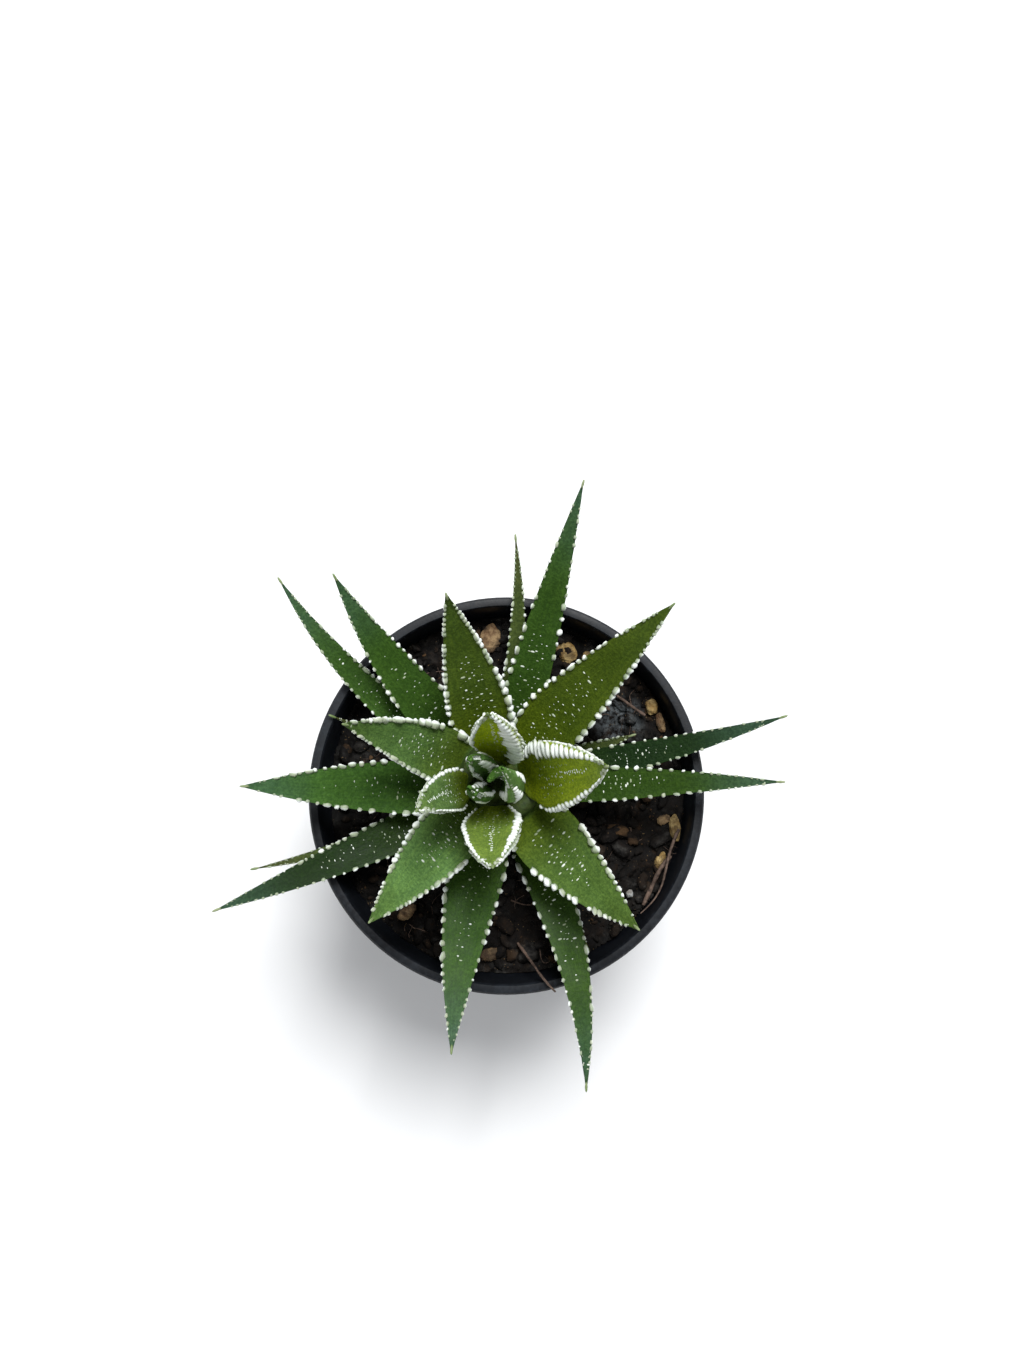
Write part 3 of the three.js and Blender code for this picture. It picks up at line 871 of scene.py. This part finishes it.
def finish_skin(leaf):
    """Joins triangles to quads, subdivides, and keeps a tree for placing things on the skin."""
    limits = {"face_threshold": math.radians(60), "shape_threshold": math.radians(80)}
    edited(leaf.skin, bpy.ops.mesh.tris_convert_to_quads, **limits)
    subdivided(leaf.skin, 2)
    displace(leaf.skin, "CLOUDS", RELIEF_SIZE, RELIEF, RELIEF_PULL, noise_depth=1)
    if leaf.whorl == "bud":
        edited(leaf.skin, bpy.ops.transform.shrink_fatten, value=BUD_SWELL)
    bpy.ops.object.shade_smooth()
    leaf.tree = BVHTree.FromObject(leaf.skin, bpy.context.evaluated_depsgraph_get())


LEAVES = {}
for leaf_node in LEAF_NODES:
    LEAVES[leaf_node] = Leaf(leaf_node)
    mark_skin(LEAVES[leaf_node])
    finish_skin(LEAVES[leaf_node])
print("leaf lengths in mm:", {name: round(leaf.length / MM) for name, leaf in LEAVES.items()})

# %% [markdown]
# ## White beads, dots and bands
# The plant's white marks are raised tubercles, each a smooth chalky swelling of the skin. They
# stand close together along both margins, large near the seat and small towards the tip. Faint
# lines of small ones run down the lower part of the face, and rows cross the back. On the young
# leaves the rows crowd into bands, because the leaf has not yet grown out between them.
# Each one is laid on the skin at its own place with a little random change in size and turn.

# %% Lay the marks
draw = random.Random(5)
PEBBLES = [rough(BEAD, seed, 0.45) for seed in range(8)]
BARS = [rough(BEAD, seed, 0.22) for seed in range(5)]
LENGTHS = (0.9, 1.1, 1.3, 1.4, 1.5, 2.0)
DOT_SIZES = (0.5, 0.6, 0.7, 0.8, 0.9, 1.0, 1.2, 1.7)
MARGIN_FILL, BACK_FILL = 0.93, 0.85
BAR_LENGTH = 3.2
TIP_SIZE = (1.1 * MM, 0.3 * MM, 0.28 * MM)
TIP_BACK = 1.15
# Where each kind of mark starts and ends along the leaf.
BEADS_FROM, BEADS_TO = 0.03, 0.92
ROWS_FROM, ROWS_TO = 0.1, 0.93
BARS_FROM, BARS_TO = 0.06, 0.94
MIDRIB_FROM, MIDRIB_TO = 0.35, 0.75


def near(value, spread):
    return value * (1 + draw.uniform(-spread, spread))


def lay(leaf, shape, where, sizes, shade, sink, turn=0.0):
    """One mark: its place (along, across, side) and its sizes along, across and out, in mm."""
    point, along, across, out = leaf.spot(*where)
    spin = Matrix.Rotation(turn, 3, out)
    length, width, height = (size * MM / 2 for size in sizes)
    centre = point - out * sink * height
    matrix = placed(centre, spin @ along, spin @ across, out, length, width, height)
    return shape, matrix, shade


def margin_beads(leaf, way, pitch, size):
    """A row of beads along one margin. Size and pitch shrink towards the tip."""
    marks = []
    along = BEADS_FROM
    while along < BEADS_TO:
        taper = 1 - 0.68 * along**1.6
        lump = near(1.1 * size * taper, 0.25)
        if draw.random() < MARGIN_FILL:
            across = way * draw.uniform(0.985, 1.0)
            sizes = (lump * draw.choice(LENGTHS), lump * near(1.0, 0.2), lump * 0.85)
            glow = draw.uniform(0.8, 1)
            turn = draw.uniform(-0.45, 0.45)
            where = (along, across, FACE)
            marks.append(lay(leaf, draw.choice(PEBBLES), where, sizes, glow, 0.25, turn))
        along += near(pitch * taper, 0.25) * MM / leaf.length
    return marks


def face_dots(leaf, lines, reach, size, spacing, spread):
    """Faint lengthwise lines of small dots on the lower part of the face."""
    marks = []
    for line in range(lines):
        track = spread * (2 * (line + 0.5) / lines - 1)
        along = draw.uniform(0.08, 0.16)
        stop = reach * (1 - 0.45 * abs(track)) * draw.uniform(0.8, 1.1)
        while along < stop:
            across = track + draw.uniform(-0.07, 0.07)
            dot = size * draw.choice(DOT_SIZES)
            fade = 1 if along > 0.15 else 0.6
            sizes = (dot * 0.85, dot * draw.uniform(0.9, 2.1), dot * 0.4)
            glow = draw.uniform(0.1, 0.8) * fade
            marks.append(lay(leaf, DOT, (along, across, FACE), sizes, glow, 0.1))
            along += draw.uniform(0.4, 1.9) * spacing * MM / leaf.length
    return marks


def back_rows(leaf, pitch, size):
    """Rows of beads across the back, some of them run together."""
    marks = []
    along = ROWS_FROM
    while along < ROWS_TO:
        taper = 1 - 0.5 * along**2
        width = leaf.half_width(along) * 2 / MM
        count = max(2, round(width * 1.15 / (size * taper * 1.25)))
        for index in range(count):
            across = 0.92 * (2 * (index + 0.5) / count - 1) + draw.uniform(-0.04, 0.04)
            lump = near(size * taper, 0.3)
            sizes = (lump * 0.85, lump * near(1.35, 0.25), lump * 0.6)
            place = (min(0.97, along + draw.uniform(-0.01, 0.01)), across, BACK)
            if draw.random() < BACK_FILL:
                marks.append(lay(leaf, DOT, place, sizes, draw.uniform(0.8, 1), 0.1))
        along += near(pitch * taper, 0.15) * MM / leaf.length
    return marks


def bars(leaf, way, edge, side, pitch):
    """A band of bars laid side by side, from one margin in to a place across the leaf.

    The band is widest at half the leaf's length and narrows to both its ends.
    """
    marks = []
    along = BARS_FROM
    while along < BARS_TO:
        swell = math.sin(math.pi * (0.15 + 0.7 * along)) ** 0.5
        inner = 1 - (1 - edge) * swell * draw.uniform(0.85, 1.15)
        width = (1 - inner) * leaf.half_width(along) / MM
        count = max(1, round(width / BAR_LENGTH))
        for index in range(count):
            across = way * (inner + (1 - inner) * (index + 0.5) / count)
            long, wide, high = near(0.84, 0.06), near(1.1, 0.1), near(0.6, 0.15)
            sizes = (pitch * long, width / count * wide, pitch * high)
            place = (min(0.97, along + draw.uniform(-0.003, 0.003)), across, side)
            glow = draw.uniform(0.85, 1.0)
            shape, turn = draw.choice(BARS), draw.uniform(-0.1, 0.1)
            marks.append(lay(leaf, shape, place, sizes, glow, 0.2, turn))
        along += near(pitch, 0.08) * MM / leaf.length
    return marks


def tip_mark(leaf):
    """The short stiff point that ends the leaf."""
    out = Vector((0, 0, 1))
    heading = leaf.rings[-1].outward
    sideways = out.cross(heading).normalized()
    centre = leaf.tip_place - heading * TIP_BACK * MM
    return BEAD, placed(centre, heading, sideways, heading.cross(sideways), *TIP_SIZE), 0.0


def midrib_dots(leaf, size):
    """Small dots in a line along the middle of the face."""
    marks = []
    along = MIDRIB_FROM
    while along < MIDRIB_TO:
        for _ in range(draw.choice((1, 2, 2, 3))):
            sizes = (near(size, 0.3), near(size * 1.3, 0.3), size * 0.5)
            place = (along, draw.uniform(-0.09, 0.09), FACE)
            marks.append(lay(leaf, DOT, place, sizes, draw.uniform(0.6, 0.95), 0.1))
        along += near(1.0, 0.2) * MM / leaf.length
    return marks


print("mark helpers ready")

# %% Which marks each leaf has
# Margin beads by leaf, whorl by whorl: left size, right size and pitch, in mm.
MARGINS = {
    "old": (
        (0.9, 0.9, 2.2), (0.9, 0.8, 2.4), (0.7, 0.7, 3.0), (0.8, 0.7, 2.6), (0.9, 0.9, 2.3),
    ),
    "outer": (
        (0.92, 1.1, 2.6), (0.92, 0.83, 3.0), (0.92, 1.01, 2.6),
        (1.2, 1.01, 3.1), (1.1, 1.2, 3.1), (1.1, 1.01, 3.2),
        (1.1, 1.1, 2.4), (1.2, 1.2, 2.8), (1.29, 1.38, 2.8),
    ),
    "middle": (
        (1.4, 1.5, 2.5), (1.6, 1.6, 2.5), (1.5, 1.5, 2.3), (1.3, 1.6, 2.2), (1.2, 1.8, 1.8),
    ),
}
# Dots on the face: lines, reach, size, spacing, spread. Rows on the back: pitch and size.
FACE_DOTS = {
    "old": (2, 0.4, 0.35, 3.0, 0.62),
    "outer": (5, 0.6, 0.34, 2.4, 0.5),
    "middle": (6, 0.6, 0.42, 2.0, 0.5),
    "inner": (5, 0.6, 0.28, 1.3, 0.62),
}
BACK_ROWS = {"old": (2.4, 0.6), "outer": (2.0, 0.8), "middle": (1.9, 0.95)}


def plain_marks(leaf):
    """Marks of a full-grown leaf: both margins, dots on the face, rows on the back."""
    left, right, pitch = MARGINS[leaf.whorl][leaf.number]
    marks = margin_beads(leaf, 1, pitch, left) + margin_beads(leaf, -1, pitch, right)
    marks += face_dots(leaf, *FACE_DOTS[leaf.whorl])
    return marks + back_rows(leaf, *BACK_ROWS[leaf.whorl])


# Where a young leaf's left and right bands end on its face: 0 is its middle, 1 its margin.
BANDS = {
    "inner": ((0.55, 0.8), (0.86, 0.78), (0.72, 0.82), (0.78, 0.3)),
    "bud": ((0.3, 0.3), (0.5, 0.15), (0.4, 0.25), (0.4, 0.4)),
}
# The pitch of a young leaf's bars, in mm, and where the bands on its back end.
BARS_OF = {"inner": (1.9, 0.2), "bud": (1.2, 0.3)}
MIDRIB_DOT = 0.34


def young_marks(leaf):
    """Marks of the inner and bud leaves: bands of bars on the margins and the back."""
    pitch, back_edge = BARS_OF[leaf.whorl]
    marks = []
    for way, edge in zip((1, -1), BANDS[leaf.whorl][leaf.number]):
        marks += bars(leaf, way, edge, FACE, pitch)
        marks += bars(leaf, way, back_edge, BACK, pitch)
    if leaf.whorl == "inner":
        marks += midrib_dots(leaf, MIDRIB_DOT) + face_dots(leaf, *FACE_DOTS["inner"])
    return marks


for leaf in LEAVES.values():
    leaf.beads = plain_marks(leaf) if leaf.whorl in MARGINS else young_marks(leaf)
    if leaf.whorl != "bud":
        leaf.beads.append(tip_mark(leaf))
print("marks:", sum(len(leaf.beads) for leaf in LEAVES.values()))

# %% [markdown]
# ## Leaf skin and bead finishes
# The skin is a tough waxy cuticle over green tissue. It has one colour by the stem, another at
# the tip, and the leaf's own tone between them. The colour by the stem is partly the leaf's own
# and partly painted shade near the centre of the rosette. The bluish tips of the outer leaves are
# painted sheen, and the tone is partly the leaf's own and partly painted light. Fine lengthwise
# grain and a very fine speckle come from the cells below. The middle of the leaf is darker, as
# painted shade of the channel down its face. Each whorl is its own material, since the old leaves
# are duller, the outer ones darker and the inner ones yellower. The beads are chalky white, creamy
# in patches, and greener and darker at the foot, partly because they are thin there and partly as
# painted shade.

# %% Leaf skin
def leaf_finish(name, olive, jade, heart_and_painted_shade, end, gloss):
    """Skin for one whorl. Heart: stem colour and painted shade. End: tip colour, on outer leaves
    painted sheen. Gloss: roughness.
    """
    skin = Finish(name, IOR=1.42, Specular_IOR_Level=0.07, Coat_Roughness=0.3, Coat_Weight=0.03)
    along = skin.attribute("along")
    across = skin.attribute("across")
    tone = skin.attribute("tone")
    face = skin.attribute("face")
    grain_place = skin.joined(across * 16.0, along * 5.0, tone * 9.0)
    grain = skin.noise(1.0, 3.0, 0.6, at=grain_place).step(0.25, 0.75)
    mottle = skin.noise(130.0, 4.0, 0.6).step(0.3, 0.7)
    freckle = skin.noise(1500.0, 2.0, 0.6).step(0.35, 0.7)
    pores = skin.noise(3300.0, 1.0, 0.5).step(0.5, 0.66)
    # Olive to jade: partly the leaf's own colour, partly painted sheen.
    colour = skin.blend(tone, olive, jade)
    # Tones below 0 are painted shade, for leaves that lie in the shade of others.
    colour = skin.blend((tone * -1.6).clamped(), colour, (0.005, 0.016, 0.007))
    # By the stem: partly the leaf's own colour, partly painted shade near the rosette's centre.
    colour = skin.blend((1.0 - along.step(0.0, 0.42)) * 0.75, colour, heart_and_painted_shade)
    # Towards the tip: the tip's own colour. On the outer leaves its bluish cast is painted sheen.
    colour = skin.blend((along.step(0.6, 1.0) * (0.4 + mottle * 0.5)).clamped(), colour, end)
    # Painted shade down the middle of the leaf, for the channel of its face.
    painted_channel_shade = (1.0 - across * across).clamped() * 0.5
    colour = skin.blend(painted_channel_shade, colour, (0.55, 0.62, 0.5), "MULTIPLY")
    colour = skin.blend(grain * 0.6, colour, (1.6, 1.45, 1.1), "MULTIPLY")
    colour = skin.blend(mottle * 0.45, colour, skin.blend(0.6, colour, (0.006, 0.02, 0.002)))
    colour = skin.blend(freckle * 0.6, colour, (1.9, 1.75, 1.7), "MULTIPLY")
    colour = skin.blend(pores * 0.4, colour, skin.blend(0.5, colour, (0.006, 0.016, 0.001)))
    colour = skin.blend((1.0 - face) * 0.3, colour, (0.02, 0.05, 0.01))
    cells = skin.cells(2400.0)
    skin.set(
        Base_Color=colour,
        Roughness=gloss + mottle * 0.1 + freckle * 0.08,
        Normal=skin.bump(cells * 0.5 + grain * 0.4 + freckle * 0.6, 0.12 * MM, 0.7),
    )
    return skin


# Each whorl's olive, jade, heart and end colours, and its roughness. The heart colour is partly
# painted shade by the stem, the outer whorl's bluish end colour is painted sheen, and jade is
# partly painted sheen.
SKIN_LOOKS = {
    "old": (
        (0.037, 0.053, 0.012), (0.052, 0.08, 0.026),
        (0.03, 0.048, 0.009), (0.08, 0.085, 0.038), 0.45,
    ),
    "outer": (
        (0.016, 0.034, 0.003), (0.036, 0.094, 0.018),
        (0.015, 0.033, 0.001), (0.05, 0.105, 0.08), 0.36,
    ),
    "middle": (
        (0.04, 0.062, 0.0015), (0.085, 0.17, 0.055),
        (0.054, 0.08, 0.0015), (0.044, 0.078, 0.015), 0.36,
    ),
    "inner": (
        (0.29, 0.39, 0.006), (0.1, 0.18, 0.06),
        (0.17, 0.23, 0.005), (0.15, 0.24, 0.06), 0.36,
    ),
    "bud": (
        (0.03, 0.09, 0.01), (0.17, 0.32, 0.1),
        (0.02, 0.06, 0.006), (0.06, 0.15, 0.025), 0.4,
    ),
}
SKINS = {whorl: leaf_finish("leaf_" + whorl, *looks) for whorl, looks in SKIN_LOOKS.items()}

chalk = Finish("bead_white", IOR=1.45, Coat_Weight=0.1, Coat_Roughness=0.4)
whiteness_and_painted_shade = chalk.attribute("shade")
cream = chalk.noise(300.0, 3.0, 0.6).step(0.35, 0.75)
# A bead's shade sets its whiteness. Towards the foot it goes greener and darker, partly for the
# thin foot, partly as painted shade.
bead_colour = chalk.blend(whiteness_and_painted_shade, (0.13, 0.19, 0.06), (0.88, 0.92, 0.9))
bead_colour = chalk.blend(cream * 0.25, bead_colour, (0.68, 0.64, 0.5))
pits = chalk.noise(2800.0, 3.0, 0.6)
chalk.set(
    Base_Color=bead_colour,
    Roughness=0.5 + cream * 0.2,
    Normal=chalk.bump(pits, 0.05 * MM, 0.5),
)
print("leaf materials:", sorted(SKINS))

# %% Finish the leaves
def finish_leaf(leaf):
    """Joins a leaf's beads to its skin as one piece with two materials."""
    beads = wear(copies_mesh(leaf.node + "_beads", leaf.beads), chalk)
    join_into(wear(leaf.skin, SKINS[leaf.whorl]), beads)
    return sign_in(leaf.skin, "leaf_" + leaf.whorl, leaf.node)


leaf_faces = sum(faces_of(finish_leaf(leaf)) for leaf in LEAVES.values())
print("leaf faces with their marks:", leaf_faces)

# %% [markdown]
# ## Stem, leaf bases and roots
# The short stem is hidden by the thick bases of the leaves that grow out of it, and below them
# by the brown husks of leaves that have dried off. It starts from the frame's stem. A swollen
# base is added where each full-grown leaf leaves it, and two courses of husks are wrapped round
# its foot.

# %% Shape the stem
STEM_FOOT = SOIL_Z - 1 * MM
STEM_VOXEL = 0.45 * MM
STEM_SHADE = 0.6
BASE_SHADE = 0.7
BASE_THICK = 2.6 * MM
HUSKS = 11
HUSK_SIZE = (3.0 * MM, 2.9 * MM, 0.8 * MM)
HUSK_HEIGHT, COURSE_RISE = 1.6, 2.2
HUSK_REACH, COURSE_INSET = 6.6, 0.4
GOLDEN_TURN = 0.382


def leaf_base(leaf):
    """A swelling that joins one leaf to the stem."""
    ring = leaf.rings[0]
    axis = Vector((PLANT_X, PLANT_Y, ring.middle.z))
    out = (ring.middle - axis).normalized()
    centre = axis.lerp(ring.middle, 0.72)
    size = (BASE_THICK, ring.half * 1.02, BASE_THICK)
    matrix = placed(centre, out, ring.left_way, out.cross(ring.left_way), *size)
    return BEAD, matrix, BASE_SHADE


def husk(index):
    """A dry curved scale held against the foot of the stem."""
    bearing = 2 * math.pi * (index * GOLDEN_TURN)
    out = Vector((math.cos(bearing), math.sin(bearing), 0))
    course = index % 2
    axis = Vector((PLANT_X, PLANT_Y, STEM_FOOT + (HUSK_HEIGHT + COURSE_RISE * course) * MM))
    centre = axis + out * (HUSK_REACH - course * COURSE_INSET) * MM
    leaning = (Vector((0, 0, 1)) + out * 0.35).normalized()
    matrix = placed(centre, leaning, Vector((-out.y, out.x, 0)), out, *HUSK_SIZE)
    return rough(BEAD, index, 0.4), matrix, 0.0


stem = copy_of("stem_and_roots", "stem")
with_modifier(stem, "REMESH", mode="VOXEL", voxel_size=STEM_VOXEL)
with_modifier(stem, "SMOOTH", factor=0.6, iterations=4)
stem_shades = [STEM_SHADE] * len(stem.data.vertices)
stem.data.attributes.new("shade", "FLOAT", "POINT").data.foreach_set("value", stem_shades)
grown = [leaf for leaf in LEAVES.values() if leaf.whorl in MARGINS]
bases = subdivided(copies_mesh("leaf_bases", [leaf_base(leaf) for leaf in grown]), 1)
husks = subdivided(copies_mesh("husks", [husk(index) for index in range(HUSKS)]), 1)
join_into(stem, bases, husks)
bpy.ops.object.shade_smooth()
print("stem faces:", faces_of(stem))

# %% Stem finish
tissue = Finish("stem_tissue", IOR=1.45)
green = tissue.attribute("shade")
fibres = tissue.noise(1.0, 3.0, 0.6, at=tissue.stretched((1500.0, 1500.0, 200.0))).step(0.35, 0.7)
stains = tissue.noise(250.0, 4.0, 0.65).step(0.35, 0.7)
living = tissue.blend(stains, (0.022, 0.05, 0.006), (0.06, 0.09, 0.012))
dry = tissue.blend(stains, (0.035, 0.018, 0.008), (0.14, 0.09, 0.045))
low = 1.0 - tissue.height().step(SOIL_Z + 1 * MM, SOIL_Z + 5 * MM)
stem_colour = tissue.blend(1.0 - green.step(0.02, 0.1), living, dry)
stem_colour = tissue.blend(low * 0.8, stem_colour, dry)
stem_colour = tissue.blend(fibres * 0.35, stem_colour, (0.02, 0.014, 0.007))
tissue.set(
    Base_Color=stem_colour,
    Roughness=0.6 + stains * 0.25,
    Normal=tissue.bump(fibres + stains * 0.5, 0.15 * MM, 0.6),
)
wear(stem, tissue)
sign_in(stem, "stem_tissue", "stem_and_roots")
print("stem finished")

# %% [markdown]
# ## Stones, bark chips and perlite
# Pumice is a pale volcanic froth stained tan by the mix. Bark chips are split, brown and
# fibrous. Perlite is white puffed glass. Each starts from its frame stone, which is subdivided,
# knocked out of round by a coarse noise and roughened by a fine one, as broken grit is. All of
# them are lifted a little, because water washes the mix off their tops.

# %% Shape and finish the stones
STONE_LIFT = 0.45 * MM
STONE_LUMPS = 1.6 * MM
STONE_PULL = 0.65


def rugged(node, coarse, fine):
    """A frame stone with broken faces and a rough skin."""
    piece = subdivided(copy_of(node, node + "_rough"), 3)
    displace(piece, "CLOUDS", STONE_LUMPS, -coarse, STONE_PULL)
    displace(piece, "VORONOI", STONE_LUMPS * 0.3, -fine, STONE_PULL)
    bpy.ops.transform.translate(value=(0, 0, STONE_LIFT))
    bpy.ops.object.shade_smooth_by_angle(angle=math.radians(40))
    return piece


def mineral(name, dark, pale, stain, grain_size, gloss):
    """A dusty mineral or bark: two body colours by clods, and stains of potting mix."""
    finish = Finish(name, Specular_IOR_Level=0.3)
    body = finish.noise(grain_size, 4.0, 0.65).step(0.3, 0.7)
    dirt = finish.noise(grain_size * 0.45, 4.0, 0.7).step(0.42, 0.62)
    pores = finish.cells(grain_size * 6.0)
    colour = finish.blend(body, dark, pale)
    colour = finish.blend(dirt * 0.8, colour, stain)
    finish.set(
        Base_Color=finish.blend((1.0 - pores.step(0.05, 0.35)) * 0.6, colour, stain),
        Roughness=gloss + dirt * 0.1,
        Normal=finish.bump(pores * 0.6 + body * 0.5, 0.2 * MM, 0.8),
    )
    return finish


pumice = mineral("pumice", (0.21, 0.12, 0.03), (0.46, 0.34, 0.15), (0.05, 0.03, 0.012), 420.0, 0.8)
bark = mineral("bark", (0.09, 0.045, 0.018), (0.27, 0.18, 0.09), (0.025, 0.016, 0.01), 500.0, 0.78)
perlite = mineral("perlite", (0.35, 0.36, 0.35), (0.7, 0.72, 0.7), (0.12, 0.1, 0.08), 600.0, 0.7)
# Each kind's finish, and how deep its coarse and fine roughness goes.
STONE_KINDS = {
    "pumice": (pumice, 0.5 * MM, 0.14 * MM),
    "bark": (bark, 0.6 * MM, 0.18 * MM),
    "perlite": (perlite, 0.3 * MM, 0.12 * MM),
}
for node_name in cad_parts:
    kind = node_name.split("_")[0]
    if kind in STONE_KINDS:
        finish, coarse, fine = STONE_KINDS[kind]
        sign_in(wear(rugged(node_name, coarse, fine), finish), kind, node_name)
print("stones finished")

# %% [markdown]
# ## Dead roots and straws
# Dead roots and dry flower-stalk fibres lie on the mix. The three big ones follow the frame.
# Hair-thin ones are bent curves laid over the soil and given thickness, and one longer root
# climbs the pot's wall.

# %% Shape the fibres
BEND_SIZE, BEND_DEPTH = 2.5 * MM, 0.35 * MM
FIBRES = 60
FIBRE_POINTS = 6
FIBRE_RADIUS = 0.13 * MM
FIBRE_REACH, TURN_BACK = 39.5 * MM, 40 * MM
WALL_ROOT_POINTS = 9
WALL_ROOT_FROM, WALL_ROOT_SWEEP = -12, 30
WALL_ROOT_THICK, WALL_ROOT_THINNING = 3.4, 0.7


def gnarled(node):
    """A frame fibre, subdivided and bent out of true by a little noise."""
    piece = subdivided(copy_of(node, node + "_fibre"), 2)
    displace(piece, "CLOUDS", BEND_SIZE, BEND_DEPTH)
    bpy.ops.object.shade_smooth()
    return piece


def new_spline(curve, count):
    """Adds a smooth line to the curve, and gives its numbered points to be placed."""
    spline = curve.splines.new("NURBS")
    spline.points.add(count - 1)
    spline.use_endpoint_u = True
    return enumerate(spline.points)


def wall_root(curve):
    """A long root that was pushed against the pot's wall, and climbs it towards the lip."""
    for index, point in new_spline(curve, WALL_ROOT_POINTS):
        share = index / (WALL_ROOT_POINTS - 1)
        bearing = math.radians(WALL_ROOT_FROM - WALL_ROOT_SWEEP * share)
        reach = (40.9 - 0.8 * math.sin(2 * math.pi * share)) * MM
        height = SOIL_Z + (2.2 + 4.0 * share) * MM
        point.co = (reach * math.cos(bearing), reach * math.sin(bearing), height, 1)
        point.radius = WALL_ROOT_THICK * (1 - WALL_ROOT_THINNING * share)


def thin_fibres():
    """Hair roots that wander over the soil, as one bevelled curve turned into a mesh."""
    wander = random.Random(23)
    curve = bpy.data.curves.new("hair_roots", "CURVE")
    curve.dimensions = "3D"
    curve.bevel_depth = FIBRE_RADIUS
    curve.bevel_resolution = 1
    curve.resolution_u = 4
    for _ in range(FIBRES):
        reach = FIBRE_REACH * math.sqrt(wander.uniform(0.1, 1))
        bearing = wander.uniform(0, 2 * math.pi)
        heading = wander.uniform(0, 2 * math.pi)
        x, y = reach * math.cos(bearing), reach * math.sin(bearing)
        thick = wander.uniform(0.4, 1.5)
        step = wander.uniform(0.8, 2.2) * MM
        for index, point in new_spline(curve, FIBRE_POINTS):
            if math.hypot(x, y) > TURN_BACK:
                heading += math.pi / 2
            ground, up = soil_point(x, y)
            height = 0.15 + 0.7 * wander.random() * math.sin(math.pi * index / (FIBRE_POINTS - 1))
            point.co = (*(ground + up * height * MM), 1)
            point.radius = thick * (1 - 0.12 * index)
            heading += wander.uniform(-0.7, 0.7)
            x, y = x + step * math.cos(heading), y + step * math.sin(heading)
    wall_root(curve)
    only(linked("hair_roots", curve))
    bpy.ops.object.convert(target="MESH")
    return bpy.context.object


dry_fibre = Finish("dry_fibre", Specular_IOR_Level=0.3)
bands = dry_fibre.noise(900.0, 4.0, 0.6).step(0.3, 0.7)
length_grain = dry_fibre.noise(1.0, 2.0, 0.5, at=dry_fibre.stretched((2500.0, 700.0, 900.0)))
fibre_colour = dry_fibre.blend(bands, (0.035, 0.022, 0.016), (0.15, 0.1, 0.075))
dry_fibre.set(
    Base_Color=fibre_colour,
    Roughness=0.7 + bands * 0.15,
    Normal=dry_fibre.bump(bands + length_grain, 0.1 * MM, 0.7),
)
for node_name in ("dead_root", "straw_1", "straw_2"):
    sign_in(wear(gnarled(node_name), dry_fibre), "dry_fibre", node_name)
hair_roots = wear(thin_fibres(), dry_fibre)
sign_in(hair_roots, "dry_fibre")
print("fibre faces:", faces_of(hair_roots))
